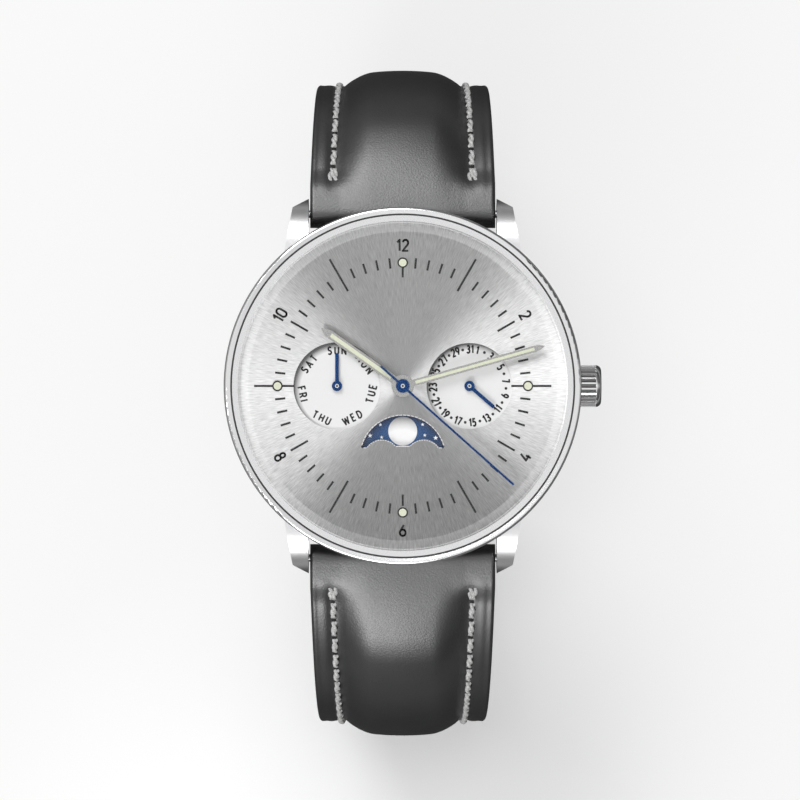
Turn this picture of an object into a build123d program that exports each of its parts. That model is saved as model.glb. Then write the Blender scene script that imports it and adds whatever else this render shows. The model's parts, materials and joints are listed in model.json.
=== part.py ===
from build123d import *
from math import atan2, cos, degrees, radians, sin, sqrt
import os

# Moon phase wrist watch, in millimetres. +Z leaves the dial, +Y points to twelve, +X to the crown.
# The origin is the middle of the case back's outer face.

os.makedirs("parts", exist_ok=True)

cut_over = 0.5
half_turn = 180
quarter_turn = 90

# Case: outer sizes
case_r = 19.0
seam_step = 0.15
waist_inset = 2.3
waist_r = case_r - waist_inset
foot_step = 0.4
foot_r = waist_r - foot_step
back_step = 0.3
back_r = foot_r - back_step
bore_r = 13.9
back_thick = 0.8
middle_height = 4.75
waist_height = 2.3
waist_sag = 0.614
dial_sink = 0.45
bezel_flange = 0.95
bezel_wall = 0.85
bezel_lip = 0.7
bezel_round = 0.3

z_back = back_thick
z_seam = z_back + middle_height
z_dial = z_seam - dial_sink
z_glass = z_seam + bezel_flange
z_bezel = z_glass + bezel_wall
middle_top_r = case_r - seam_step
gasket_r = case_r - bezel_lip

# Crystal
gasket_wall = 0.2
glass_r = gasket_r - gasket_wall
glass_rim = 1.1
glass_bevel = 0.45
glass_bevel_width = 0.75
glass_dome = 1.55
glass_thick = 1.1
glass_land = 0.85
under_dome = 1.35
z_glass_rim = z_glass + glass_rim
z_glass_bevel = z_glass_rim + glass_bevel
z_apex = z_glass_bevel + glass_dome
z_under = z_apex - glass_thick
bezel_bore_r = glass_r - glass_land

# Case back
spigot_fit = 0.05
spigot_wall = 0.85
spigot_height = 0.6
gasket_gap = 0.2
gasket_width = 0.4
gasket_height = 0.4
screw_edge_gap = 0.25
screw_count = 4
screw_start_angle = 45
screw_head_r = 0.6
screw_head_height = 0.35
screw_shank_r = 0.3
screw_length = 2.0
screw_ring_r = back_r - screw_head_r - screw_edge_gap
screw_fit = 0.03
screw_slot_width = 0.15
screw_slot_depth = 0.12

# Lugs and spring bars
strap_lug_width = 19.8
strap_lug_gap = 0.15
lug_inner_x = strap_lug_width / 2 + strap_lug_gap
lug_reach = 1.05
lug_tip_y = case_r + lug_reach
lug_tip_width = 1.7
lug_tip_slope = 0.95
lug_root_width = 2.55
lug_root_drop = 5.75
lug_root_y = lug_tip_y - lug_root_drop
lug_start_drop = 8.05
lug_start_y = lug_tip_y - lug_start_drop
lug_top_drop = 0.25
lug_shoulder_drop = 4.85
lug_shoulder_y = lug_tip_y - lug_shoulder_drop
lug_nose_z = 1.5
lug_toe_z = -0.4
lug_toe_drop = 0.75
lug_toe_y = lug_tip_y - lug_toe_drop
lug_sole_drop = 4.65
lug_sole_y = lug_tip_y - lug_sole_drop
bar_drop = 1.65
bar_y = lug_tip_y - bar_drop
bar_z = 1.6
bar_tube_r = 0.7
bar_tube_inset = 1.4
bar_tube_half = strap_lug_width / 2 - bar_tube_inset
bar_bore_depth = 2.5
tip_pin_r = 0.35
tip_pin_length = 1.6
tip_shoulder = 0.3
tip_shoulder_gap = 0.95
tip_pivot_r = 0.4
tip_pivot_length = 1.15
tip_fit = 0.05
tip_bore_fit = 0.07
tip_end_gap = 0.3

# Crown and stem
crown_z = 3.1
crown_r = 2.23
crown_inset = 0.05
crown_start = case_r - crown_inset
crown_length = 2.0
crown_dome = 0.35
crown_flutes = 24
flute_r = 0.2
flute_end_gap = 0.35
crown_wall = 0.8
crown_bore_r = 1.45
boss_r = 1.75
boss_inset = 0.35
boss_end = case_r - boss_inset
boss_depth = 1.7
boss_start = waist_r - boss_depth
tube_r = 0.95
tube_bore_r = 0.5
tube_inset = 0.7
tube_start = bore_r + tube_inset
tube_end_gap = 0.1
stem_r = 0.45
stem_start = 8.9
stem_in_crown = 0.4
stem_neck_r = 0.27
stem_neck_start = 9.35
stem_neck_length = 0.9
ring_section = 0.35
ring_fit = 0.03

# Dial
dial_fit = 0.05
dial_overlap = 0.085
dial_r = bezel_bore_r + dial_overlap
dial_thick = 0.4
z_face = z_dial + dial_thick
day_x = -6.9
date_x = 7.0
day_dial_r = 4.58
date_dial_r = 4.5
small_dial_sink = 0.25
centre_hole_r = 1.0
small_hole_r = 0.35
moon_y = -7.55
window_r = 4.5
window_tip_rise = 1.05
window_hump_r = 1.88
window_hump_x = 2.2
window_flat_rise = 1.22
window_round = 0.18
dial_foot_r = 0.4
dial_foot_x = 5.0
dial_foot_y = 10.3
dial_foot_depth = 0.5
foot_fit = 0.03

# Luminous dots
dot_r = 0.4
dot_height = 0.12
dot_ring_shares = (0.748, 0.76, 0.767, 0.76)

# Hands
hour_angle = 305.3
minute_angle = 74.3
seconds_angle = 131.7
day_angle = 0.0
date_angle = 130.9
hand_thick = 0.15
hour_lift = 0.55
minute_lift = 1.0
seconds_lift = 1.45
small_lift = 0.1
hour_tip_gap = 6.835
hour_length = dial_r - hour_tip_gap
hour_width = 0.86
hour_point = 1.2
hour_hub_r = 1.17
hour_glow_width = 0.44
hour_glow_start = 1.48
hour_glow_end_gap = 1.24
minute_tip_gap = 1.735
minute_length = dial_r - minute_tip_gap
minute_width = 0.72
minute_point = 1.2
minute_hub_r = 1.17
minute_glow_width = 0.32
minute_glow_start = 1.38
minute_glow_end_gap = 1.17
seconds_tip_gap = 1.635
seconds_length = dial_r - seconds_tip_gap
seconds_width = 0.22
seconds_tail = 3.1
seconds_thick = 0.13
seconds_hub_r = 0.71
seconds_hub_height = 0.3
small_length = 3.45
small_width = 0.37
small_hub_r = 0.54
small_hub_height = 0.3
glow_sink = 0.04
point_bulge_share = 0.3

# Movement levels
back_room = 0.75
bridge_thick = 0.4
train_room = 1.35
plate_thick = 0.7
plate_r = 12.8
holder_fit = 0.05
holder_height = 3.1
z_bridge = z_back + back_room
z_train = z_bridge + bridge_thick
z_plate = z_train + train_room
z_motion = z_plate + plate_thick

# Gear train: teeth, modules and levels above the bridge's inner face
tooth_root_share = 0.46
tooth_tip_share = 0.15
addendum_share = 0.8
dedendum_share = 1.3
train_module = 0.1
rotor_teeth = 8
inter_teeth = 48
inter_pinion_teeth = 12
fourth_teeth = 60
fourth_pinion_teeth = 8
third_teeth = 60
third_pinion_teeth = 8
centre_teeth = 64
centre_distance = train_module * (third_pinion_teeth + centre_teeth) / 2
fourth_module = 2 * centre_distance / (fourth_pinion_teeth + third_teeth)
inter_distance = train_module * (inter_pinion_teeth + fourth_teeth) / 2
rotor_distance = train_module * (rotor_teeth + inter_teeth) / 2
third_angle = 60
inter_angle = 200
rotor_angle = 215
wheel_thick = 0.2
fourth_level = 0.2
inter_level = 0.6
third_level = 0.65
centre_level = 1.0
pinion_gap = 0.05
arbor_r = 0.14
arbor_fit = 0.04
pivot_depth = 0.3
seconds_arbor_r = 0.15
cannon_bore_r = 0.19
cannon_r = 0.38
hour_bore_r = 0.43
hour_tube_r = 0.68
plate_bore_fit = 0.1
spoke_hole_share = 0.28
spoke_count = 5

# Motion work under the dial: modules and levels above the main plate
minute_module = 0.125
hour_module = 0.12
cannon_teeth = 12
minute_teeth = 36
minute_pinion_teeth = 10
hour_teeth = 40
motion_distance = minute_module * (cannon_teeth + minute_teeth) / 2
motion_angle = 90
minute_wheel_level = 0.12
minute_pinion_height = 0.45
hour_wheel_level = 0.52
post_r = 0.25
post_fit = 0.04
post_height = 0.95

# Calendar work
drive_module = 0.16
hour_drive_teeth = 16
drive_teeth = 32
drive_distance = drive_module * (hour_drive_teeth + drive_teeth) / 2
drive_level = 0.78
drive_hub_r = 0.42
date_drive_angle = 25
day_drive_angle = 155
finger_width = 0.35
finger_reach = 1.0
star_level = 0.5
star_thick = 0.18
date_star_r = 3.3
date_star_teeth = 31
date_tooth = 0.45
day_star_r = 3.1
day_star_teeth = 7
day_tooth = 1.0
star_hub_r = 0.6
moon_disc_r = 4.85
moon_level = 0.76
moon_thick = 0.16
moon_post_r = 0.4
moon_hub_r = 0.9
jumper_width = 0.25
jumper_gap = 0.12
jumper_foot_r = 0.55
date_jumper_angle = 62
date_jumper_reach = 3.2
day_jumper_angle = 118
day_jumper_reach = 3.0

# Battery, circuit and motor
battery_r = 3.4
battery_height = 1.65
battery_x = 2.6
battery_y = -8.1
clamp_thick = 0.2
clamp_width = 2.4
clamp_screw_x = 7.4
clamp_screw_y = -8.1
board_thick = 0.15
quartz_r = 0.72
quartz_length = 5.0
quartz_x = -4.3
quartz_y = -8.3
coil_x = -10.2
coil_half = 3.2
coil_r = 0.85
core_width = 0.9
core_thick = 0.35
core_pad_y = 4.6
core_pad_half = 0.8
stator_thick = 0.35
stator_knee_x = -6.6
stator_half = 0.8
stator_ring_r = 1.7
stator_bore_r = 1.05
magnet_r = 0.8
magnet_gap = 0.05

# Bridge and movement screws
bridge_screw_r = 0.25
bridge_head_r = 0.6
bridge_head_height = 0.25
pillar_r = 0.8
bridge_places = ((-1.6, 6.2), (5.6, -1.2), (-4.2, 3.2))
bridge_margin = 1.1

# Setting parts on the stem
pinion_r = 0.76
pinion_x = 10.5
pinion_length = 0.9
pinion_teeth = 12
lever_arm = 3.05
lever_swing = 8.6
lever_thick = 0.3
lever_width = 0.8
lever_pin_r = 0.15
lever_hub_r = 0.6
lever_pin_gap = 0.03
lever_post_r = 0.28

# Strap
strap_narrowing = 3.9
strap_end_width = strap_lug_width - strap_narrowing
strap_taper_length = 66
flange = 2.1
lining_thick = 0.8
strap_roll_r = 1.5
bar_bore_r = 0.75
crown_pad = 1.75
pad_edge = 3.3
pad_rise_start = 2.5
pad_rise_end = 11.0
pad_fall_start = 26.0
pad_fall_end = 56.0
pad_least = 0.12
strap_edge = 0.45
upper_shoulder_r = 16.5
upper_side_r = 40.0
upper_side_turn = 20
lower_shoulder_r = 21.3
strap_start_turn = 10
strap_floor_z = -41.3
buckle_bar_y = -3.5
tail_thick = 1.6
tail_gap = 0.35
tail_thin_start = 30.0
tail_bend_turn = 25
tail_point = 6.0
tail_point_width = 7.0
tail_point_shares = (0.3, 0.55, 0.75, 0.9, 1.0)
section_step = 4.0
least_step = 0.12
lining_start = 3.0
end_roll_r = 1.15
hole_r = 0.95
hole_step = 6.0
hole_count = 4
slot_start_y = -3.7
slot_length = 3.6
tongue_slot_half = 1.3

# Buckle
buckle_bar_r = 0.5
buckle_fit = 0.05
buckle_side_gap = 0.45
buckle_inner_x = strap_end_width / 2 + buckle_side_gap
buckle_arm = 1.5
buckle_front_y = -12.55
buckle_strap_gap = 0.15
buckle_front_r = 0.775
buckle_hub_r = 1.1
buckle_bar_inset = 0.3
tongue_hub_r = 1.0
tongue_hub_half = 1.0
tongue_half = 0.75
tongue_thick = 0.7
tongue_side_gap = 0.2
tongue_rest = 0.2
tongue_knee_y = 1.5
tongue_knee_z = 1.3
tongue_heel_y = 3.2
tongue_heel_z = 3.3
tongue_toe_y = 4.8
tongue_toe_rise = 0.2
tongue_over = 0.5

# Keepers
keeper_length = 4.0
keeper_side_gap = 0.3
keeper_top_gap = 0.2
keeper_wall = 1.2
keeper_round = 0.5
fixed_keeper_y = 1.5
free_keeper_y = 8.3

tail_z = strap_floor_z - flange / 2 - tail_gap - tail_thick / 2
floor_z = tail_z - tail_thick / 2 - buckle_strap_gap - 2 * buckle_front_r


def save(part, name):
    """Label a finished piece and write it."""
    part.label = name
    export_step(part, f"parts/{name}.step")


def polar(radius, angle):
    """A point at a compass angle, clockwise from twelve."""
    return (radius * sin(radians(angle)), radius * cos(radians(angle)))


def turned(radius, angle):
    """A point at a mathematical angle, from +X towards +Y."""
    return (radius * cos(radians(angle)), radius * sin(radians(angle)))


def dome_z(radius, apex, drop, edge_r):
    """Height of a spherical cap that falls by drop at edge_r."""
    ball = (edge_r**2 + drop**2) / (2 * drop)
    return apex - ball + sqrt(ball**2 - radius**2)


def tooth_points(teeth, module, phase):
    """Outline of a gear with straight-sided teeth, one tooth centred on the phase angle."""
    pitch = 360 / teeth
    pitch_r = teeth * module / 2
    root = pitch_r - dedendum_share * module
    tip = pitch_r + addendum_share * module
    points = []
    for tooth in range(teeth):
        middle = phase + tooth * pitch
        points.append(turned(root, middle - tooth_root_share * pitch / 2))
        points.append(turned(tip, middle - tooth_tip_share * pitch / 2))
        points.append(turned(tip, middle + tooth_tip_share * pitch / 2))
        points.append(turned(root, middle + tooth_root_share * pitch / 2))
    return points


def gear_face(teeth, module, phase):
    """A filled gear outline about the origin."""
    with BuildSketch() as outline:
        with BuildLine():
            Polyline(*tooth_points(teeth, module, phase), close=True)
        make_face()
    return outline.sketch


def mesh_phase(teeth, line_angle, driver_teeth=0, driver_phase=0):
    """Phase of a driven gear in mesh. Without a driver given, its tooth lies on the line of centres."""
    lag = (driver_phase - line_angle) * driver_teeth / teeth if driver_teeth else 0
    return line_angle + half_turn + half_turn / teeth - lag


def spokes(teeth, module, hub):
    """Round lightening holes between a wheel's hub and rim."""
    rim = teeth * module / 2 - dedendum_share * module
    ring = (rim + hub) / 2
    with PolarLocations(ring, spoke_count):
        Circle(spoke_hole_share * (rim - hub), mode=Mode.SUBTRACT)


# Places of the train's arbors
third_x, third_y = turned(centre_distance, third_angle)
inter_x, inter_y = turned(inter_distance, inter_angle)
rotor_x = inter_x + turned(rotor_distance, rotor_angle)[0]
rotor_y = inter_y + turned(rotor_distance, rotor_angle)[1]
motion_x, motion_y = turned(motion_distance, motion_angle)
date_drive_x, date_drive_y = turned(drive_distance, date_drive_angle)
day_drive_x, day_drive_y = turned(drive_distance, day_drive_angle)
lever_x = stem_neck_start + stem_neck_length / 2 + lever_arm * sin(radians(lever_swing))
lever_y = lever_arm + stem_neck_r + lever_pin_r + lever_pin_gap


def lug_solid():
    """The upper right lug: its plan cut by its side profile."""
    with BuildPart() as lug:
        with BuildSketch(Plane.XY.offset(lug_toe_z - cut_over)):
            with BuildLine():
                Polyline(
                    (lug_inner_x, lug_start_y),
                    (lug_inner_x, lug_tip_y),
                    (lug_inner_x + lug_tip_width, lug_tip_y - lug_tip_slope),
                    (lug_inner_x + lug_root_width, lug_root_y),
                    (lug_inner_x + lug_root_width, lug_start_y),
                    close=True,
                )
            make_face()
        extrude(amount=z_seam - lug_toe_z + cut_over)
        with BuildSketch(Plane.YZ.offset(lug_inner_x - cut_over)):
            with BuildLine():
                top = z_seam - lug_top_drop
                Line((lug_start_y, z_back), (lug_start_y, top))
                Line((lug_start_y, top), (lug_shoulder_y, top))
                TangentArc((lug_shoulder_y, top), (lug_tip_y, lug_nose_z), tangent=(1, 0))
                Line((lug_tip_y, lug_nose_z), (lug_toe_y, lug_toe_z))
                ThreePointArc(
                    (lug_toe_y, lug_toe_z),
                    ((lug_toe_y + lug_sole_y) / 2, (lug_toe_z + z_back) / 2 - seam_step),
                    (lug_sole_y, z_back),
                )
                Line((lug_sole_y, z_back), (lug_start_y, z_back))
            make_face()
        extrude(amount=lug_root_width + 2 * cut_over, mode=Mode.INTERSECT)
        depth = tip_shoulder_gap + tip_shoulder + tip_pivot_length + tip_end_gap
        with BuildSketch(Plane.YZ.offset(lug_inner_x - cut_over)):
            with Locations((bar_y, bar_z)):
                Circle(tip_pivot_r + tip_fit)
        extrude(amount=bar_tube_half + depth - lug_inner_x + cut_over, mode=Mode.SUBTRACT)
    return lug.part


def make_case_middle():
    lug = lug_solid()
    with BuildPart() as case_middle:
        with BuildSketch(Plane.XZ):
            with BuildLine():
                waist = z_back + waist_height
                Line((bore_r, z_back), (foot_r, z_back))
                Line((foot_r, z_back), (waist_r, waist))
                SagittaArc((waist_r, waist), (middle_top_r, z_seam), waist_sag)
                Line((middle_top_r, z_seam), (dial_r + dial_fit, z_seam))
                Line((dial_r + dial_fit, z_seam), (dial_r + dial_fit, z_dial))
                Line((dial_r + dial_fit, z_dial), (bore_r, z_dial))
                Line((bore_r, z_dial), (bore_r, z_back))
            make_face()
        revolve(axis=Axis.Z)
        with BuildSketch(Plane.YZ.offset(boss_start)):
            with Locations((0, crown_z)):
                Circle(boss_r)
        extrude(amount=boss_end - boss_start)
        upper = lug + lug.mirror(Plane.YZ)
        add(upper + upper.mirror(Plane.XZ))
        with BuildSketch(Plane.YZ.offset(bore_r - cut_over)):
            with Locations((0, crown_z)):
                Circle(tube_r)
        extrude(amount=boss_end - bore_r + 2 * cut_over, mode=Mode.SUBTRACT)
        with BuildSketch(Plane.XY.offset(z_back)):
            Circle(bore_r + gasket_gap + gasket_width)
            Circle(bore_r + gasket_gap, mode=Mode.SUBTRACT)
        extrude(amount=gasket_height, mode=Mode.SUBTRACT)
        with BuildSketch(Plane.XY.offset(z_back)):
            with PolarLocations(screw_ring_r, screw_count, start_angle=screw_start_angle):
                Circle(screw_shank_r + screw_fit)
        extrude(amount=screw_length, mode=Mode.SUBTRACT)
        with BuildSketch(Plane.XY.offset(z_back)):
            Circle(bore_r)
        extrude(amount=z_seam - z_back, mode=Mode.SUBTRACT)
        with BuildSketch(Plane.XY.offset(z_dial)):
            Circle(dial_r + dial_fit)
        extrude(amount=z_seam - z_dial, mode=Mode.SUBTRACT)
    save(case_middle.part, "case_middle")


def make_bezel():
    with BuildPart() as bezel:
        with BuildSketch(Plane.XZ):
            with BuildLine():
                Line((bezel_bore_r, z_seam), (case_r - seam_step, z_seam))
                Line((case_r - seam_step, z_seam), (case_r, z_seam + seam_step))
                Line((case_r, z_seam + seam_step), (case_r, z_bezel - bezel_round))
                TangentArc(
                    (case_r, z_bezel - bezel_round), (case_r - bezel_lip / 2, z_bezel), tangent=(0, 1)
                )
                Line((case_r - bezel_lip / 2, z_bezel), (gasket_r, z_bezel - seam_step / 2))
                Line((gasket_r, z_bezel - seam_step / 2), (gasket_r, z_glass))
                Line((gasket_r, z_glass), (bezel_bore_r, z_glass))
                Line((bezel_bore_r, z_glass), (bezel_bore_r, z_seam))
            make_face()
        revolve(axis=Axis.Z)
    save(bezel.part, "bezel")


def make_crystal():
    wall_r = bezel_bore_r - dial_fit
    wall_z = dome_z(wall_r, z_under, under_dome, wall_r)
    with BuildPart() as crystal:
        with BuildSketch(Plane.XZ):
            with BuildLine():
                middle = glass_r / 2
                bevel_r = glass_r - glass_bevel_width
                Line((0, z_under), (0, z_apex))
                ThreePointArc(
                    (0, z_apex),
                    (middle, dome_z(middle, z_apex, glass_dome, bevel_r)),
                    (bevel_r, z_glass_bevel),
                )
                Line((bevel_r, z_glass_bevel), (glass_r, z_glass_rim))
                Line((glass_r, z_glass_rim), (glass_r, z_glass))
                Line((glass_r, z_glass), (wall_r, z_glass))
                Line((wall_r, z_glass), (wall_r, wall_z))
                ThreePointArc(
                    (wall_r, wall_z),
                    (middle, dome_z(middle, z_under, under_dome, wall_r)),
                    (0, z_under),
                )
            make_face()
        revolve(axis=Axis.Z)
    save(crystal.part, "crystal")


def make_crystal_gasket():
    with BuildPart() as crystal_gasket:
        with BuildSketch(Plane.XY.offset(z_glass)):
            Circle(gasket_r)
            Circle(glass_r, mode=Mode.SUBTRACT)
        extrude(amount=bezel_wall - seam_step)
    save(crystal_gasket.part, "crystal_gasket")


def make_case_back():
    with BuildPart() as case_back:
        Cylinder(back_r, back_thick, align=(Align.CENTER, Align.CENTER, Align.MIN))
        with BuildSketch(Plane.XY.offset(back_thick)):
            Circle(bore_r - spigot_fit)
            Circle(bore_r - spigot_fit - spigot_wall, mode=Mode.SUBTRACT)
        extrude(amount=spigot_height)
        with BuildSketch(Plane.XY):
            with PolarLocations(screw_ring_r, screw_count, start_angle=screw_start_angle):
                Circle(screw_head_r + screw_fit)
        extrude(amount=screw_head_height, mode=Mode.SUBTRACT)
        with BuildSketch(Plane.XY):
            with PolarLocations(screw_ring_r, screw_count, start_angle=screw_start_angle):
                Circle(screw_shank_r + screw_fit)
        extrude(amount=back_thick, mode=Mode.SUBTRACT)
    save(case_back.part, "case_back")


def make_case_back_gasket():
    with BuildPart() as case_back_gasket:
        with BuildSketch(Plane.XY.offset(z_back)):
            Circle(bore_r + gasket_gap + gasket_width)
            Circle(bore_r + gasket_gap, mode=Mode.SUBTRACT)
        extrude(amount=gasket_height)
    save(case_back_gasket.part, "case_back_gasket")


def make_case_back_screws():
    with BuildPart() as case_back_screws:
        with BuildSketch(Plane.XY.offset(screw_fit)):
            with PolarLocations(screw_ring_r, screw_count, start_angle=screw_start_angle):
                Circle(screw_head_r)
        extrude(amount=screw_head_height - screw_fit)
        with BuildSketch(Plane.XY.offset(screw_head_height)):
            with PolarLocations(screw_ring_r, screw_count, start_angle=screw_start_angle):
                Circle(screw_shank_r)
        extrude(amount=screw_length)
        with BuildSketch(Plane.XY):
            with PolarLocations(screw_ring_r, screw_count, start_angle=screw_start_angle):
                Rectangle(screw_slot_width, 2 * screw_head_r + cut_over)
        extrude(amount=screw_fit + screw_slot_depth, mode=Mode.SUBTRACT)
    save(case_back_screws.part, "case_back_screws")


def make_bar_tubes():
    """Both spring bars' tubes, bored at their ends for the tips."""
    with BuildPart() as bar_tubes:
        with BuildSketch(Plane.YZ.offset(-bar_tube_half)):
            with Locations((bar_y, bar_z), (-bar_y, bar_z)):
                Circle(bar_tube_r)
        extrude(amount=2 * bar_tube_half)
        for end in (-1, 1):
            with BuildSketch(Plane.YZ.offset(end * bar_tube_half)):
                with Locations((bar_y, bar_z), (-bar_y, bar_z)):
                    Circle(tip_pin_r + tip_bore_fit)
            extrude(amount=-end * bar_bore_depth, mode=Mode.SUBTRACT)
    save(bar_tubes.part, "bar_tubes")


def make_bar_tips():
    shoulder = bar_tube_half + tip_shoulder_gap
    stretches = (
        (tip_pin_r, bar_tube_half - tip_pin_length, shoulder),
        (bar_tube_r, shoulder, shoulder + tip_shoulder),
        (tip_pivot_r, shoulder + tip_shoulder, shoulder + tip_shoulder + tip_pivot_length),
    )
    for side, name in ((1, "upper"), (-1, "lower")):
        for end, hand in ((-1, "left"), (1, "right")):
            with BuildPart() as tip:
                for radius, start, stop in stretches:
                    with BuildSketch(Plane.YZ.offset(end * start)):
                        with Locations((side * bar_y, bar_z)):
                            Circle(radius)
                    extrude(amount=end * (stop - start))
            save(tip.part, f"{name}_bar_tip_{hand}")


def make_crown():
    with BuildPart() as crown:
        with BuildSketch(Plane.XZ):
            with BuildLine():
                end = crown_start + crown_length
                edge = end - crown_dome
                low = crown_z
                Line((crown_start, low), (crown_start, low + crown_r))
                Line((crown_start, low + crown_r), (edge, low + crown_r))
                TangentArc((edge, low + crown_r), (end - seam_step, low + crown_r / 2), tangent=(1, 0))
                Line((end - seam_step, low + crown_r / 2), (end, low))
                Line((end, low), (crown_start, low))
            make_face()
        revolve(axis=Axis((0, 0, crown_z), (1, 0, 0)))
        with BuildSketch(Plane.YZ.offset(crown_start)):
            with Locations((0, crown_z)):
                with PolarLocations(crown_r, crown_flutes):
                    Circle(flute_r)
        extrude(amount=crown_length - flute_end_gap, mode=Mode.SUBTRACT)
        with BuildSketch(Plane.YZ.offset(crown_start)):
            with Locations((0, crown_z)):
                Circle(crown_bore_r)
        extrude(amount=crown_length - crown_wall, mode=Mode.SUBTRACT)
        with BuildSketch(Plane.YZ.offset(crown_start)):
            with Locations((0, crown_z)):
                Circle(stem_r)
        extrude(amount=crown_length - crown_wall + stem_in_crown, mode=Mode.SUBTRACT)
    save(crown.part, "crown")


def make_crown_gasket():
    with BuildPart() as crown_gasket:
        with BuildSketch(Plane.YZ.offset(crown_start)):
            with Locations((0, crown_z)):
                Circle(crown_bore_r - ring_fit)
                Circle(tube_r + ring_fit, mode=Mode.SUBTRACT)
        extrude(amount=ring_section)
    save(crown_gasket.part, "crown_gasket")


def make_crown_tube():
    end = crown_start + crown_length - crown_wall - tube_end_gap
    with BuildPart() as crown_tube:
        with BuildSketch(Plane.YZ.offset(tube_start)):
            with Locations((0, crown_z)):
                Circle(tube_r)
                Circle(tube_bore_r, mode=Mode.SUBTRACT)
        extrude(amount=end - tube_start)
    save(crown_tube.part, "crown_tube")


def make_winding_stem():
    end = crown_start + crown_length - crown_wall + stem_in_crown
    with BuildPart() as winding_stem:
        with BuildSketch(Plane.YZ.offset(stem_start)):
            with Locations((0, crown_z)):
                Circle(stem_r)
        extrude(amount=end - stem_start)
        with BuildSketch(Plane.YZ.offset(stem_neck_start)):
            with Locations((0, crown_z)):
                Circle(stem_r + cut_over)
                Circle(stem_neck_r, mode=Mode.SUBTRACT)
        extrude(amount=stem_neck_length, mode=Mode.SUBTRACT)
    save(winding_stem.part, "winding_stem")


def make_sliding_pinion():
    with BuildPart() as sliding_pinion:
        with BuildSketch(Plane(origin=(pinion_x, 0, crown_z), x_dir=(0, 1, 0), z_dir=(1, 0, 0))):
            add(gear_face(pinion_teeth, 2 * pinion_r / (pinion_teeth + 2), 0))
            Circle(stem_r, mode=Mode.SUBTRACT)
        extrude(amount=pinion_length)
    save(sliding_pinion.part, "sliding_pinion")


def make_setting_lever():
    top = z_plate - lever_pin_gap
    with BuildPart() as setting_lever:
        with BuildSketch(Plane.XY.offset(top - lever_thick)):
            pin_x = lever_x - lever_arm * sin(radians(lever_swing))
            pin_y = lever_y - lever_arm * cos(radians(lever_swing))
            with Locations((lever_x, lever_y)):
                Circle(lever_hub_r)
            with Locations(((lever_x + pin_x) / 2, (lever_y + pin_y) / 2)):
                Rectangle(lever_width, lever_arm - 2 * stem_r, rotation=-lever_swing)
            with Locations((lever_x, lever_y)):
                Circle(lever_post_r + post_fit, mode=Mode.SUBTRACT)
        extrude(amount=lever_thick)
        with BuildSketch(Plane.XY.offset(top - lever_thick)):
            with Locations((pin_x, pin_y)):
                Circle(lever_pin_r)
            with Locations(((lever_x + 3 * pin_x) / 4, (lever_y + 3 * pin_y) / 4)):
                Rectangle(2 * lever_pin_r, lever_arm / 2, rotation=-lever_swing)
        extrude(amount=-lever_thick)
    save(setting_lever.part, "setting_lever")


def window_face():
    """The crescent window over the moon disc: a big arc above two humps."""
    tip_y = moon_y + window_tip_rise
    tip_x = sqrt(window_r**2 - window_tip_rise**2)
    outer_x = window_hump_x + sqrt(window_hump_r**2 - window_tip_rise**2)
    flat_y = moon_y + window_flat_rise
    inner_x = window_hump_x - sqrt(window_hump_r**2 - window_flat_rise**2)
    peak_y = moon_y + window_hump_r
    with BuildSketch() as window:
        with BuildLine():
            ThreePointArc((-tip_x, tip_y), (0, moon_y + window_r), (tip_x, tip_y))
            Line((tip_x, tip_y), (outer_x, tip_y))
            ThreePointArc((outer_x, tip_y), (window_hump_x, peak_y), (inner_x, flat_y))
            Line((inner_x, flat_y), (-inner_x, flat_y))
            ThreePointArc((-inner_x, flat_y), (-window_hump_x, peak_y), (-outer_x, tip_y))
            Line((-outer_x, tip_y), (-tip_x, tip_y))
        make_face()
        fillet(window.vertices().group_by(Axis.X)[0], radius=window_round)
        fillet(window.vertices().group_by(Axis.X)[-1], radius=window_round)
    return window.sketch


def make_dial():
    with BuildPart() as dial:
        with BuildSketch(Plane.XY.offset(z_dial)):
            Circle(dial_r)
            Circle(centre_hole_r, mode=Mode.SUBTRACT)
            with Locations((day_x, 0), (date_x, 0)):
                Circle(small_hole_r, mode=Mode.SUBTRACT)
        extrude(amount=dial_thick)
        with BuildSketch(Plane.XY.offset(z_face)):
            with Locations((day_x, 0)):
                Circle(day_dial_r)
            with Locations((date_x, 0)):
                Circle(date_dial_r)
        extrude(amount=-small_dial_sink, mode=Mode.SUBTRACT)
        with BuildSketch(Plane.XY.offset(z_dial - cut_over)):
            add(window_face())
        extrude(amount=dial_thick + 2 * cut_over, mode=Mode.SUBTRACT)
        with BuildSketch(Plane.XY.offset(z_dial)):
            with Locations((-dial_foot_x, dial_foot_y), (dial_foot_x, dial_foot_y)):
                Circle(dial_foot_r)
        extrude(amount=-(z_dial - z_motion + dial_foot_depth))
    save(dial.part, "dial")


def make_lume_dots():
    places = [polar(share * dial_r, quarter_turn * turn) for turn, share in enumerate(dot_ring_shares)]
    with BuildPart() as lume_dots:
        with BuildSketch(Plane.XY.offset(z_face)):
            with Locations(*places):
                Circle(dot_r)
        extrude(amount=dot_height)
    save(lume_dots.part, "lume_dots")


def hand_plane(angle, lift):
    """A plane above the dial whose Y axis lies along a hand."""
    radians_angle = radians(angle)
    return Plane(
        origin=(0, 0, z_face + lift),
        x_dir=(cos(radians_angle), -sin(radians_angle), 0),
        z_dir=(0, 0, 1),
    )


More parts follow.
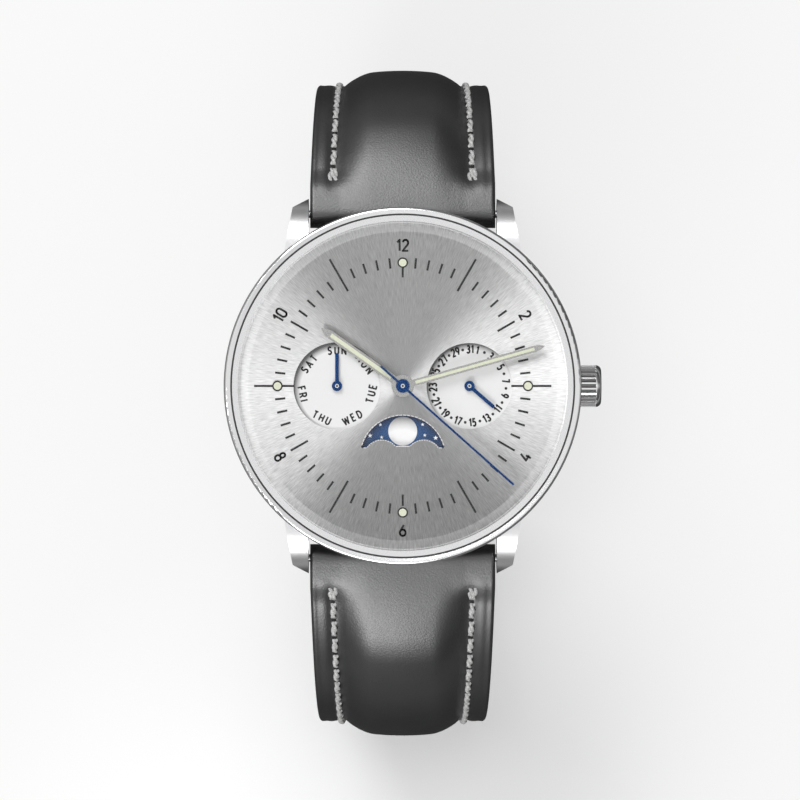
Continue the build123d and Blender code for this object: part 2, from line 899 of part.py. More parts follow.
def pointed_hand(name, angle, lift, sizes, bore_r):
    """A leaf hand with a hub, a luminous slot and a point, and its luminous strip."""
    length, width, point, hub_r, glow_width, glow_start, glow_end = sizes
    plane = hand_plane(angle, lift)
    glow_length = length - glow_end - glow_start
    with BuildPart() as hand:
        with BuildSketch(plane):
            with BuildLine():
                base = length - point
                bulge_x = width / 4 * (1 + point_bulge_share)
                bulge_y = base + point / 2 * (1 + point_bulge_share / 2)
                Polyline((-width / 2, base), (-width / 2, 0), (width / 2, 0), (width / 2, base))
                ThreePointArc((width / 2, base), (bulge_x, bulge_y), (0, length))
                ThreePointArc((0, length), (-bulge_x, bulge_y), (-width / 2, base))
            make_face()
            Circle(hub_r)
            Circle(bore_r, mode=Mode.SUBTRACT)
            with Locations((0, glow_start + glow_length / 2)):
                Rectangle(glow_width, glow_length, mode=Mode.SUBTRACT)
        extrude(amount=hand_thick)
    save(hand.part, f"{name}_hand")
    with BuildPart() as glow:
        with BuildSketch(plane):
            with Locations((0, glow_start + glow_length / 2)):
                Rectangle(glow_width, glow_length)
        extrude(amount=hand_thick - glow_sink)
    save(glow.part, f"{name}_hand_lume")


def make_hour_hand():
    sizes = (
        hour_length,
        hour_width,
        hour_point,
        hour_hub_r,
        hour_glow_width,
        hour_glow_start,
        hour_glow_end_gap,
    )
    pointed_hand("hour", hour_angle, hour_lift, sizes, hour_tube_r)


def make_minute_hand():
    sizes = (
        minute_length,
        minute_width,
        minute_point,
        minute_hub_r,
        minute_glow_width,
        minute_glow_start,
        minute_glow_end_gap,
    )
    pointed_hand("minute", minute_angle, minute_lift, sizes, cannon_r)


def make_seconds_hand():
    with BuildPart() as seconds_hand:
        with BuildSketch(hand_plane(seconds_angle, seconds_lift)):
            with Locations((0, (seconds_length - seconds_tail) / 2)):
                Rectangle(seconds_width, seconds_length + seconds_tail)
            Circle(seconds_hub_r)
            Circle(seconds_arbor_r, mode=Mode.SUBTRACT)
        extrude(amount=seconds_thick)
        with BuildSketch(hand_plane(seconds_angle, seconds_lift)):
            Circle(seconds_hub_r / 2)
            Circle(seconds_arbor_r, mode=Mode.SUBTRACT)
        extrude(amount=seconds_hub_height)
    save(seconds_hand.part, "seconds_hand")


def make_small_hands():
    for name, middle_x, angle in (("day", day_x, day_angle), ("date", date_x, date_angle)):
        plane = Plane(
            origin=(middle_x, 0, z_face + small_lift),
            x_dir=(cos(radians(angle)), -sin(radians(angle)), 0),
            z_dir=(0, 0, 1),
        )
        with BuildPart() as small_hand:
            with BuildSketch(plane):
                with Locations((0, (small_length - small_width / 2) / 2)):
                    Rectangle(small_width, small_length - small_width / 2)
                with Locations((0, small_length - small_width / 2)):
                    Circle(small_width / 2)
                Circle(small_hub_r)
                Circle(arbor_r, mode=Mode.SUBTRACT)
            extrude(amount=hand_thick)
            with BuildSketch(plane):
                Circle(small_hub_r / 2)
                Circle(arbor_r, mode=Mode.SUBTRACT)
            extrude(amount=small_hub_height)
        save(small_hand.part, f"{name}_hand")


def wheel(name, place, teeth, module, phase, low, pinion, arbor):
    """A wheel with its pinion and arbor, written under its name."""
    x, y = place
    pinion_teeth, pinion_module, pinion_phase, pinion_low, pinion_high = pinion
    arbor_radius, arbor_low, arbor_high = arbor
    with BuildPart() as piece:
        with BuildSketch(Plane((x, y, low))):
            add(gear_face(teeth, module, phase))
            spokes(teeth, module, pinion_teeth * pinion_module / 2 + pinion_module)
        extrude(amount=wheel_thick)
        with BuildSketch(Plane((x, y, pinion_low))):
            add(gear_face(pinion_teeth, pinion_module, pinion_phase))
        extrude(amount=pinion_high - pinion_low)
        with BuildSketch(Plane((x, y, arbor_low))):
            Circle(arbor_radius)
        extrude(amount=arbor_high - arbor_low)
    save(piece.part, name)


def make_train():
    z_fourth = z_train + fourth_level
    z_inter = z_train + inter_level
    z_third = z_train + third_level
    z_centre = z_train + centre_level
    pivots = (z_train - pivot_depth, z_plate + pivot_depth)
    seconds_top = z_face + seconds_lift + seconds_hub_height
    wheel(
        "fourth_wheel",
        (0, 0),
        fourth_teeth,
        train_module,
        inter_angle,
        z_fourth,
        (
            fourth_pinion_teeth,
            fourth_module,
            third_angle,
            z_fourth + wheel_thick,
            z_centre - pinion_gap,
        ),
        (seconds_arbor_r, z_train - pivot_depth, seconds_top),
    )
    wheel(
        "third_wheel",
        (third_x, third_y),
        third_teeth,
        fourth_module,
        mesh_phase(third_teeth, third_angle),
        z_third,
        (
            third_pinion_teeth,
            train_module,
            third_angle + half_turn,
            z_third + wheel_thick,
            z_plate - pinion_gap,
        ),
        (arbor_r, *pivots),
    )
    wheel(
        "intermediate_wheel",
        (inter_x, inter_y),
        inter_teeth,
        train_module,
        mesh_phase(inter_teeth, rotor_angle + half_turn),
        z_inter,
        (
            inter_pinion_teeth,
            train_module,
            mesh_phase(inter_pinion_teeth, inter_angle),
            z_fourth - pinion_gap,
            z_inter,
        ),
        (arbor_r, *pivots),
    )
    with BuildPart() as centre_wheel:
        with BuildSketch(Plane.XY.offset(z_centre)):
            centre_phase = mesh_phase(centre_teeth, third_angle + half_turn)
            add(gear_face(centre_teeth, train_module, centre_phase))
            spokes(centre_teeth, train_module, cannon_r)
        extrude(amount=wheel_thick)
        with BuildSketch(Plane.XY.offset(z_centre)):
            Circle(cannon_r)
        extrude(amount=z_face + minute_lift + hand_thick - z_centre)
        with BuildSketch(Plane.XY.offset(z_motion + pinion_gap)):
            add(gear_face(cannon_teeth, minute_module, motion_angle))
        extrude(amount=hour_wheel_level - 2 * pinion_gap)
        with BuildSketch(Plane.XY.offset(z_centre)):
            Circle(cannon_bore_r)
        extrude(amount=z_face + minute_lift + hand_thick - z_centre, mode=Mode.SUBTRACT)
    save(centre_wheel.part, "centre_wheel")
    with BuildPart() as rotor:
        with BuildSketch(Plane((rotor_x, rotor_y, z_fourth + wheel_thick))):
            add(gear_face(rotor_teeth, train_module, rotor_angle + half_turn))
        extrude(amount=z_plate - stator_thick - z_fourth - wheel_thick)
        with BuildSketch(Plane((rotor_x, rotor_y, z_plate - stator_thick))):
            Circle(magnet_r)
        extrude(amount=stator_thick - magnet_gap)
        with BuildSketch(Plane((rotor_x, rotor_y, pivots[0]))):
            Circle(arbor_r)
        extrude(amount=pivots[1] - pivots[0])
    save(rotor.part, "rotor")


def make_motion_work():
    z_minute = z_motion + minute_wheel_level
    z_hour = z_motion + hour_wheel_level
    with BuildPart() as minute_wheel:
        with BuildSketch(Plane((motion_x, motion_y, z_minute))):
            add(gear_face(minute_teeth, minute_module, mesh_phase(minute_teeth, motion_angle)))
        extrude(amount=wheel_thick)
        with BuildSketch(Plane((motion_x, motion_y, z_minute + wheel_thick))):
            add(gear_face(minute_pinion_teeth, hour_module, motion_angle + half_turn))
        extrude(amount=minute_pinion_height)
        with BuildSketch(Plane((motion_x, motion_y, z_minute))):
            Circle(post_r + post_fit)
        extrude(amount=wheel_thick + minute_pinion_height, mode=Mode.SUBTRACT)
    save(minute_wheel.part, "minute_wheel")
    with BuildPart() as hour_wheel:
        with BuildSketch(Plane.XY.offset(z_hour)):
            add(gear_face(hour_teeth, hour_module, mesh_phase(hour_teeth, motion_angle + half_turn)))
        extrude(amount=wheel_thick)
        with BuildSketch(Plane.XY.offset(z_hour + wheel_thick)):
            add(gear_face(hour_drive_teeth, drive_module, date_drive_angle))
        extrude(amount=wheel_thick + pinion_gap)
        with BuildSketch(Plane.XY.offset(z_hour)):
            Circle(hour_tube_r)
        extrude(amount=z_face + hour_lift + hand_thick - z_hour)
        with BuildSketch(Plane.XY.offset(z_hour)):
            Circle(hour_bore_r)
        extrude(amount=z_face + hour_lift + hand_thick - z_hour, mode=Mode.SUBTRACT)
    save(hour_wheel.part, "hour_wheel")


def star(name, middle_x, radius, teeth, tooth, arbor_top, phase):
    """A star wheel with pointed teeth, its hub and the arbor that carries a small hand."""
    low = z_motion + star_level
    pitch = 360 / teeth
    points = []
    for index in range(teeth):
        points.append(turned(radius, phase + index * pitch))
        points.append(turned(radius - tooth, phase + (index + 1 / 2) * pitch))
    with BuildPart() as piece:
        with BuildSketch(Plane((middle_x, 0, low))):
            with BuildLine():
                Polyline(*points, close=True)
            make_face()
        extrude(amount=star_thick)
        with BuildSketch(Plane((middle_x, 0, z_motion + pinion_gap))):
            Circle(star_hub_r)
        extrude(amount=z_dial - z_motion - 2 * pinion_gap)
        with BuildSketch(Plane((middle_x, 0, z_motion - pivot_depth))):
            Circle(arbor_r)
        extrude(amount=arbor_top - z_motion + pivot_depth)
    save(piece.part, name)


def make_stars():
    top = z_face + small_lift + small_hub_height
    star("day_star", day_x, day_star_r, day_star_teeth, day_tooth, top, day_jumper_angle)
    star("date_star", date_x, date_star_r, date_star_teeth, date_tooth, top, date_jumper_angle)


def make_moon_disc():
    low = z_motion + moon_level
    with BuildPart() as moon_disc:
        with BuildSketch(Plane((0, moon_y, low))):
            Circle(moon_disc_r)
            Circle(moon_post_r + post_fit, mode=Mode.SUBTRACT)
        extrude(amount=moon_thick)
        with BuildSketch(Plane((0, moon_y, z_motion + pinion_gap))):
            Circle(moon_hub_r)
            Circle(moon_post_r + post_fit, mode=Mode.SUBTRACT)
        extrude(amount=low - z_motion - pinion_gap)
    save(moon_disc.part, "moon_disc")


def make_drive_wheels():
    """Two wheels that turn once a day, each with a finger for its star."""
    low = z_motion + drive_level
    finger_low = z_motion + star_level
    places = (
        ("date_drive_wheel", date_drive_x, date_drive_y, date_drive_angle),
        ("day_drive_wheel", day_drive_x, day_drive_y, day_drive_angle),
    )
    for name, x, y, angle in places:
        phase = mesh_phase(drive_teeth, angle, hour_drive_teeth, date_drive_angle)
        with BuildPart() as drive_wheel:
            with BuildSketch(Plane((x, y, low))):
                add(gear_face(drive_teeth, drive_module, phase))
            extrude(amount=wheel_thick)
            with BuildSketch(Plane((x, y, finger_low))):
                Circle(drive_hub_r)
            extrude(amount=low - finger_low)
            with BuildSketch(Plane((x, y, finger_low))):
                with Locations((0, finger_reach / 2)):
                    Rectangle(finger_width, finger_reach)
            extrude(amount=star_thick)
            with BuildSketch(Plane((x, y, finger_low))):
                Circle(post_r + post_fit)
            extrude(amount=low + wheel_thick - finger_low, mode=Mode.SUBTRACT)
        save(drive_wheel.part, name)


def jumper(place, tip, foot_turn, reach):
    """A flat spring from a foot to its tip beside a star's rim, in the active sketch."""
    angle = degrees(atan2(tip[1] - place[1], tip[0] - place[0])) + foot_turn
    foot = (tip[0] + turned(reach, angle)[0], tip[1] + turned(reach, angle)[1])
    with Locations(foot):
        Circle(jumper_foot_r)
    with Locations(((foot[0] + tip[0]) / 2, (foot[1] + tip[1]) / 2)):
        Rectangle(reach, jumper_width, rotation=angle)
    return foot


def make_jumpers():
    sets = (
        (date_x, date_star_r, date_jumper_angle, date_jumper_reach, quarter_turn),
        (day_x, day_star_r, day_jumper_angle, day_jumper_reach, -quarter_turn),
    )
    with BuildPart() as jumpers:
        for star_x, radius, angle, reach, foot_turn in sets:
            with BuildSketch(Plane.XY.offset(z_motion + star_level)):
                spot = turned(radius + jumper_gap + jumper_width / 2, angle)
                foot = jumper((star_x, 0), (star_x + spot[0], spot[1]), foot_turn, reach)
            extrude(amount=star_thick)
            with BuildSketch(Plane.XY.offset(z_motion)):
                with Locations(foot):
                    Circle(jumper_foot_r)
            extrude(amount=star_level)
    save(jumpers.part, "calendar_jumpers")


def make_main_plate():
    top_places = ((motion_x, motion_y), (date_drive_x, date_drive_y), (day_drive_x, day_drive_y))
    screw_places = bridge_places + ((clamp_screw_x, clamp_screw_y),)
    with BuildPart() as main_plate:
        with BuildSketch(Plane.XY.offset(z_plate)):
            Circle(plate_r)
            Circle(cannon_r + plate_bore_fit, mode=Mode.SUBTRACT)
            with Locations((-dial_foot_x, dial_foot_y), (dial_foot_x, dial_foot_y)):
                Circle(dial_foot_r + foot_fit, mode=Mode.SUBTRACT)
            with Locations(((stem_start + plate_r) / 2, 0)):
                Rectangle(
                    plate_r - stem_start + 2 * cut_over,
                    2 * (pinion_r + plate_bore_fit),
                    mode=Mode.SUBTRACT,
                )
        extrude(amount=plate_thick)
        with BuildSketch(Plane.XY.offset(z_plate)):
            with Locations((third_x, third_y), (inter_x, inter_y), (rotor_x, rotor_y)):
                Circle(arbor_r + arbor_fit)
        extrude(amount=pivot_depth + pinion_gap, mode=Mode.SUBTRACT)
        with BuildSketch(Plane.XY.offset(z_motion)):
            with Locations((day_x, 0), (date_x, 0)):
                Circle(arbor_r + arbor_fit)
        extrude(amount=-(pivot_depth + pinion_gap), mode=Mode.SUBTRACT)
        with BuildSketch(Plane.XY.offset(z_motion)):
            with Locations(*top_places):
                Circle(post_r)
        extrude(amount=post_height)
        with BuildSketch(Plane.XY.offset(z_motion)):
            with Locations((0, moon_y)):
                Circle(moon_post_r)
        extrude(amount=moon_level + moon_thick)
        with BuildSketch(Plane.XY.offset(z_plate)):
            with Locations((lever_x, lever_y)):
                Circle(lever_post_r)
        extrude(amount=-(lever_thick + 2 * lever_pin_gap))
        with BuildSketch(Plane.XY.offset(z_plate)):
            with Locations(*bridge_places):
                Circle(pillar_r)
        extrude(amount=-train_room)
        with BuildSketch(Plane.XY.offset(z_plate)):
            with Locations((clamp_screw_x, clamp_screw_y)):
                Circle(pillar_r)
        extrude(amount=-(z_plate - z_bridge))
        with BuildSketch(Plane.XY.offset(z_bridge)):
            with Locations(*screw_places):
                Circle(bridge_screw_r)
        extrude(amount=z_plate - z_bridge, mode=Mode.SUBTRACT)
    save(main_plate.part, "main_plate")


def make_movement_holder():
    with BuildPart() as movement_holder:
        with BuildSketch(Plane.XY.offset(z_dial)):
            Circle(bore_r - holder_fit)
            Circle(plate_r, mode=Mode.SUBTRACT)
        extrude(amount=-holder_height)
        with BuildSketch(Plane.YZ.offset(plate_r - cut_over)):
            with Locations((0, crown_z)):
                Circle(tube_r + plate_bore_fit)
        extrude(amount=bore_r - plate_r + 2 * cut_over, mode=Mode.SUBTRACT)
    save(movement_holder.part, "movement_holder")


def make_train_bridge():
    pivots = ((0, 0), (third_x, third_y), (inter_x, inter_y), (rotor_x, rotor_y))
    corners = bridge_places + pivots
    with BuildPart() as train_bridge:
        with BuildSketch(Plane.XY.offset(z_bridge)):
            with Locations(*corners):
                Circle(bridge_margin)
            make_hull()
            with Locations(*bridge_places):
                Circle(bridge_screw_r + screw_fit, mode=Mode.SUBTRACT)
        extrude(amount=bridge_thick)
        with BuildSketch(Plane.XY.offset(z_train)):
            with Locations(*pivots):
                Circle(seconds_arbor_r + arbor_fit)
        extrude(amount=-(pivot_depth + pinion_gap), mode=Mode.SUBTRACT)
    save(train_bridge.part, "train_bridge")
    with BuildPart() as bridge_screws:
        with BuildSketch(Plane.XY.offset(z_bridge)):
            with Locations(*bridge_places):
                Circle(bridge_head_r)
        extrude(amount=-bridge_head_height)
        with BuildSketch(Plane.XY.offset(z_bridge)):
            with Locations(*bridge_places):
                Circle(bridge_screw_r)
        extrude(amount=z_plate - z_bridge)
        with BuildSketch(Plane.XY.offset(z_bridge - clamp_thick)):
            with Locations((clamp_screw_x, clamp_screw_y)):
                Circle(bridge_head_r)
        extrude(amount=-bridge_head_height)
        with BuildSketch(Plane.XY.offset(z_bridge - clamp_thick)):
            with Locations((clamp_screw_x, clamp_screw_y)):
                Circle(bridge_screw_r)
        extrude(amount=z_plate - z_bridge + clamp_thick)
        with BuildSketch(Plane.XY.offset(z_bridge - bridge_head_height)):
            with Locations(*bridge_places):
                Rectangle(screw_slot_width, 2 * bridge_head_r)
        extrude(amount=screw_slot_depth, mode=Mode.SUBTRACT)
        with BuildSketch(Plane.XY.offset(z_bridge - clamp_thick - bridge_head_height)):
            with Locations((clamp_screw_x, clamp_screw_y)):
                Rectangle(screw_slot_width, 2 * bridge_head_r)
        extrude(amount=screw_slot_depth, mode=Mode.SUBTRACT)
    save(bridge_screws.part, "movement_screws")


def make_power():
    with BuildPart() as battery:
        with BuildSketch(Plane((battery_x, battery_y, z_bridge))):
            Circle(battery_r)
        extrude(amount=battery_height)
        chamfer(battery.edges().group_by(Axis.Z)[0], length=seam_step)
    save(battery.part, "battery")
    with BuildPart() as battery_clamp:
        with BuildSketch(Plane.XY.offset(z_bridge)):
            with Locations((clamp_screw_x, clamp_screw_y)):
                Circle(clamp_width / 2)
            with Locations(((battery_x + clamp_screw_x) / 2, battery_y)):
                Rectangle(clamp_screw_x - battery_x, clamp_width)
            with Locations((battery_x, battery_y)):
                Circle(clamp_width / 2)
            with Locations((clamp_screw_x, clamp_screw_y)):
                Circle(bridge_screw_r + screw_fit, mode=Mode.SUBTRACT)
        extrude(amount=-clamp_thick)
    save(battery_clamp.part, "battery_clamp")
    with BuildPart() as circuit_board:
        with BuildSketch(Plane.XY.offset(z_plate - board_thick)):
            with Locations((quartz_x - quartz_r, quartz_y + 2 * quartz_r)):
                Rectangle(quartz_length, 2 * quartz_r)
            with Locations((quartz_x - quartz_r, quartz_y)):
                Rectangle(quartz_length + 2 * quartz_r, 2 * quartz_r)
        extrude(amount=board_thick)
        with BuildSketch(Plane.XY.offset(z_plate - board_thick)):
            with Locations((quartz_x - quartz_r, quartz_y + 2 * quartz_r)):
                Rectangle(2 * quartz_r, quartz_r)
        extrude(amount=-board_thick)
    save(circuit_board.part, "circuit_board")
    with BuildPart() as quartz:
        with BuildSketch(Plane.YZ.offset(quartz_x - quartz_length / 2)):
            with Locations((quartz_y, z_plate - board_thick - quartz_r)):
                Circle(quartz_r)
        extrude(amount=quartz_length)
    save(quartz.part, "quartz_resonator")


def make_motor():
    coil_z = z_plate - pinion_gap - coil_r
    with BuildPart() as coil_core:
        with BuildSketch(Plane((coil_x, 0, coil_z))):
            Rectangle(core_width, 2 * (core_pad_y + core_pad_half))
        extrude(amount=core_thick / 2, both=True)
        with BuildSketch(Plane.XY.offset(z_plate - stator_thick)):
            with Locations((coil_x, core_pad_y), (coil_x, -core_pad_y)):
                Rectangle(2 * core_pad_half, 2 * core_pad_half)
        extrude(amount=-(z_plate - stator_thick - coil_z))
    save(coil_core.part, "coil_core")
    with BuildPart() as coil:
        with BuildSketch(Plane.XZ.offset(-coil_half)):
            with Locations((coil_x, coil_z)):
                Circle(coil_r)
                Rectangle(core_width, core_thick, mode=Mode.SUBTRACT)
        extrude(amount=2 * coil_half)
    save(coil.part, "coil")
    with BuildPart() as stator:
        with BuildSketch(Plane.XY.offset(z_plate)):
            for side in (-1, 1):
                knee_y = side * core_pad_y
                with Locations(((coil_x - core_pad_half + stator_knee_x) / 2, knee_y)):
                    Rectangle(stator_knee_x - coil_x + core_pad_half, 2 * stator_half)
                run = sqrt((rotor_x - stator_knee_x) ** 2 + (rotor_y - knee_y) ** 2)
                lean = degrees(atan2(rotor_y - knee_y, rotor_x - stator_knee_x))
                with Locations(((rotor_x + stator_knee_x) / 2, (rotor_y + knee_y) / 2)):
                    Rectangle(run, 2 * stator_half, rotation=lean)
                with Locations((stator_knee_x, knee_y)):
                    Circle(stator_half)
            with Locations((rotor_x, rotor_y)):
                Circle(stator_ring_r)
                Circle(stator_bore_r, mode=Mode.SUBTRACT)
        extrude(amount=-stator_thick)
    save(stator.part, "stator")


def strap_path(side, arcs):
    """Stations along a strap half: (length, y, z, turn), the turn from outwards to downwards."""
    y, z, length = side * bar_y, bar_z, 0
    stations = [(length, y, z, strap_start_turn)]
    turn = strap_start_turn
    for end_turn, radius in arcs:
        steps = max(1, round(radians(end_turn - turn) * radius / section_step))
        start_turn, start_y, start_z, start_length = turn, y, z, length
        for step in range(1, steps + 1):
            turn = start_turn + (end_turn - start_turn) * step / steps
            y = start_y + side * radius * (sin(radians(turn)) - sin(radians(start_turn)))
            z = start_z + radius * (cos(radians(turn)) - cos(radians(start_turn)))
            length = start_length + radius * radians(turn - start_turn)
            stations.append((length, y, z, turn))
    return stations


def strap_flat(stations, end_y):
    """Add the flat stretch at the bottom of the loop to a list of stations."""
    length, y, z, turn = stations[-1]
    run = abs(end_y - y)
    steps = round(run / section_step)
    for step in range(1, steps + 1):
        share = step / steps
        stations.append((length + run * share, y + (end_y - y) * share, z, turn))


def upper_end_r():
    """Radius of the last bend of the upper half, which brings it to the floor of the loop."""
    side_turn = quarter_turn + upper_side_turn
    side_end = strap_path(1, ((quarter_turn, upper_shoulder_r), (side_turn, upper_side_r)))
    return (side_end[-1][2] - strap_floor_z) / (1 + cos(radians(side_turn)))


def upper_stations():
    arcs = (
        (quarter_turn, upper_shoulder_r),
        (quarter_turn + upper_side_turn, upper_side_r),
        (half_turn, upper_end_r()),
    )
    stations = strap_path(1, arcs)
    flat_start = stations[-1][1]
    strap_flat(stations, buckle_bar_y)
    return stations, flat_start


def lower_stations():
    shoulder = strap_path(-1, ((quarter_turn, lower_shoulder_r),))
    arcs = ((quarter_turn, lower_shoulder_r), (half_turn, shoulder[-1][2] - tail_z))
    stations = strap_path(-1, arcs)
    flat_end = upper_stations()[1]
    strap_flat(stations, flat_end)
    bend_r = upper_end_r() + strap_floor_z - tail_z
    length, y, z, turn = stations[-1]
    bend = radians(tail_bend_turn) * bend_r
    shares = [(bend - tail_point) / 2 / bend, (bend - tail_point) / bend]
    shares += [(bend - tail_point + tail_point * share) / bend for share in tail_point_shares]
    for share in shares:
        angle = half_turn + tail_bend_turn * share
        stations.append(
            (
                length + bend * share,
                y - bend_r * sin(radians(angle)),
                z + bend_r * (cos(radians(angle)) + 1),
                angle,
            )
        )
    return stations


def strap_plane(side, station):
    """The plane across the strap at a station, its Y axis leaving the wrist."""
    length, y, z, turn = station
    out_y = side * sin(radians(turn))
    out_z = cos(radians(turn))
    return Plane(origin=(0, y, z), x_dir=(1, 0, 0), z_dir=(0, -out_z, out_y))


def smooth(value, start, end):
    """A smooth step from nought to one."""
    share = min(max((value - start) / (end - start), 0), 1)
    return share * share * (3 - 2 * share)


def strap_width(length, total, pointed):
    taper = min(max((length - lining_start) / (strap_taper_length - lining_start), 0), 1)
    width = strap_lug_width + (strap_end_width - strap_lug_width) * taper
    into_point = (length - total + tail_point) / tail_point
    if pointed and into_point > 0:
        width = tail_point_width + (width - tail_point_width) * sqrt(1 - min(into_point, 1) ** 2)
    return width


def strap_thick(length, pointed):
    if not pointed:
        return flange
    return flange + (tail_thick - flange) * smooth(length, tail_thin_start, strap_taper_length)


def pad_height(length):
    rise = smooth(length, pad_rise_start, pad_rise_end)
    fall = 1 - smooth(length, pad_fall_start, pad_fall_end)
    return pad_least + (crown_pad - pad_least) * rise * fall


def leather_section(side, station, total, pointed):
    """Outer leather across the strap: flat flanges with the padding's crown between them."""
    half = strap_width(station[0], total, pointed) / 2
    thick = strap_thick(station[0], pointed)
    low = lining_thick - thick / 2
    top = thick / 2
    edge = min(strap_edge, thick / 4)
    pad = half * (1 - 2 * pad_edge / strap_lug_width)
    with BuildSketch(strap_plane(side, station)) as section:
        with BuildLine():
            Polyline((pad, top), (half - edge, top), (half, top - edge), (half, low), (-half, low))
            Polyline((-half, low), (-half, top - edge), (edge - half, top), (-pad, top))
            ThreePointArc((-pad, top), (0, top + pad_height(station[0])), (pad, top))
        make_face()
    return section.sketch


def lining_section(side, station, total, pointed):
    half = strap_width(station[0], total, pointed) / 2
    low = -strap_thick(station[0], pointed) / 2
    with BuildSketch(strap_plane(side, station)) as section:
        with Locations((0, low + lining_thick / 2)):
            Rectangle(2 * half, lining_thick)
    return section.sketch


def end_profile(side, station, roll_y, roll_z, roll_r):
    """Side view of the leather folded round a bar and running to a station."""
    length, y, z, turn = station
    out_y, out_z = side * sin(radians(turn)), cos(radians(turn))
    start_y, start_z = y - roll_y, z - roll_z
    run = sqrt(start_y**2 + start_z**2)
    across_y, across_z = -start_z / run * side, start_y / run * side
    if across_y * out_y + across_z * out_z < 0:
        across_y, across_z = -across_y, -across_z
    with BuildSketch(Plane.YZ) as profile:
        with BuildLine():
            Polyline(
                (roll_y + across_y * roll_r, roll_z + across_z * roll_r),
                (y + out_y * flange / 2, z + out_z * flange / 2),
                (y - out_y * flange / 2, z - out_z * flange / 2),
                (roll_y - across_y * roll_r, roll_z - across_z * roll_r),
                close=True,
            )
        make_face()
        with Locations((roll_y, roll_z)):
            Circle(roll_r)
    return profile.sketch


def trimmed(stations, start, end):
    """Stations between two lengths, with one added at each end."""
    kept = []
    for before, after in zip(stations, stations[1:]):
        for mark in (start, end):
            if before[0] < mark <= after[0]:
                share = (mark - before[0]) / (after[0] - before[0])
                kept.append(tuple(a + (b - a) * share for a, b in zip(before, after)))
        if start < after[0] < end:
            kept.append(after)
    kept.sort()
    apart = [kept[0]]
    for station in kept[1:]:
        if station[0] - apart[-1][0] > least_step:
            apart.append(station)
    return apart


def make_upper_strap():
    stations, flat_start = upper_stations()
    total = stations[-1][0]
    body = trimmed(stations, lining_start, total - lining_start)
    with BuildPart() as leather:
        faces = [leather_section(1, station, total, False).face() for station in body]
        loft(sections=faces, ruled=True)
        half = strap_lug_width / 2
        extrude(end_profile(1, body[0], bar_y, bar_z, strap_roll_r), amount=half, both=True)
        buckle_end = end_profile(1, body[-1], buckle_bar_y, strap_floor_z, end_roll_r)
        extrude(buckle_end, amount=strap_end_width / 2, both=True)
        with BuildSketch(Plane.YZ.offset(-half - cut_over)):
            with Locations((bar_y, bar_z)):
                Circle(bar_bore_r)
            with Locations((buckle_bar_y, strap_floor_z)):
                Circle(buckle_bar_r + buckle_fit)
        extrude(amount=2 * half + 2 * cut_over, mode=Mode.SUBTRACT)
        with BuildSketch(Plane.XY.offset(strap_floor_z)):
            with Locations((0, buckle_bar_y)):
                Rectangle(2 * tongue_slot_half, 2 * (end_roll_r + tongue_side_gap))
        extrude(amount=flange, both=True, mode=Mode.SUBTRACT)
    save(leather.part, "upper_strap_leather")
    with BuildPart() as lining:
        loft(sections=[lining_section(1, station, total, False).face() for station in body], ruled=True)
    save(lining.part, "upper_strap_lining")


def hole_sketch():
    """Buckle holes seen from below, the one in use drawn out by the tongue."""
    with BuildSketch(Plane.XY.offset(floor_z)) as holes:
        with Locations((0, slot_start_y - slot_length / 2)):
            SlotOverall(slot_length, 2 * hole_r, rotation=quarter_turn)
        with Locations(*[(0, slot_start_y + hole_step * count) for count in range(1, hole_count)]):
            Circle(hole_r)
    return holes.sketch


def make_lower_strap():
    stations = lower_stations()
    total = stations[-1][0]
    body = trimmed(stations, lining_start, total)
    with BuildPart() as leather:
        faces = [leather_section(-1, station, total, True).face() for station in body]
        loft(sections=faces, ruled=True)
        half = strap_lug_width / 2
        extrude(end_profile(-1, body[0], -bar_y, bar_z, strap_roll_r), amount=half, both=True)
        with BuildSketch(Plane.YZ.offset(-half - cut_over)):
            with Locations((-bar_y, bar_z)):
                Circle(bar_bore_r)
        extrude(amount=2 * half + 2 * cut_over, mode=Mode.SUBTRACT)
        extrude(hole_sketch(), amount=strap_floor_z - floor_z, mode=Mode.SUBTRACT)
    save(leather.part, "lower_strap_leather")
    with BuildPart() as lining:
        loft(sections=[lining_section(-1, station, total, True).face() for station in body], ruled=True)
        extrude(hole_sketch(), amount=strap_floor_z - floor_z, mode=Mode.SUBTRACT)
    save(lining.part, "lower_strap_lining")


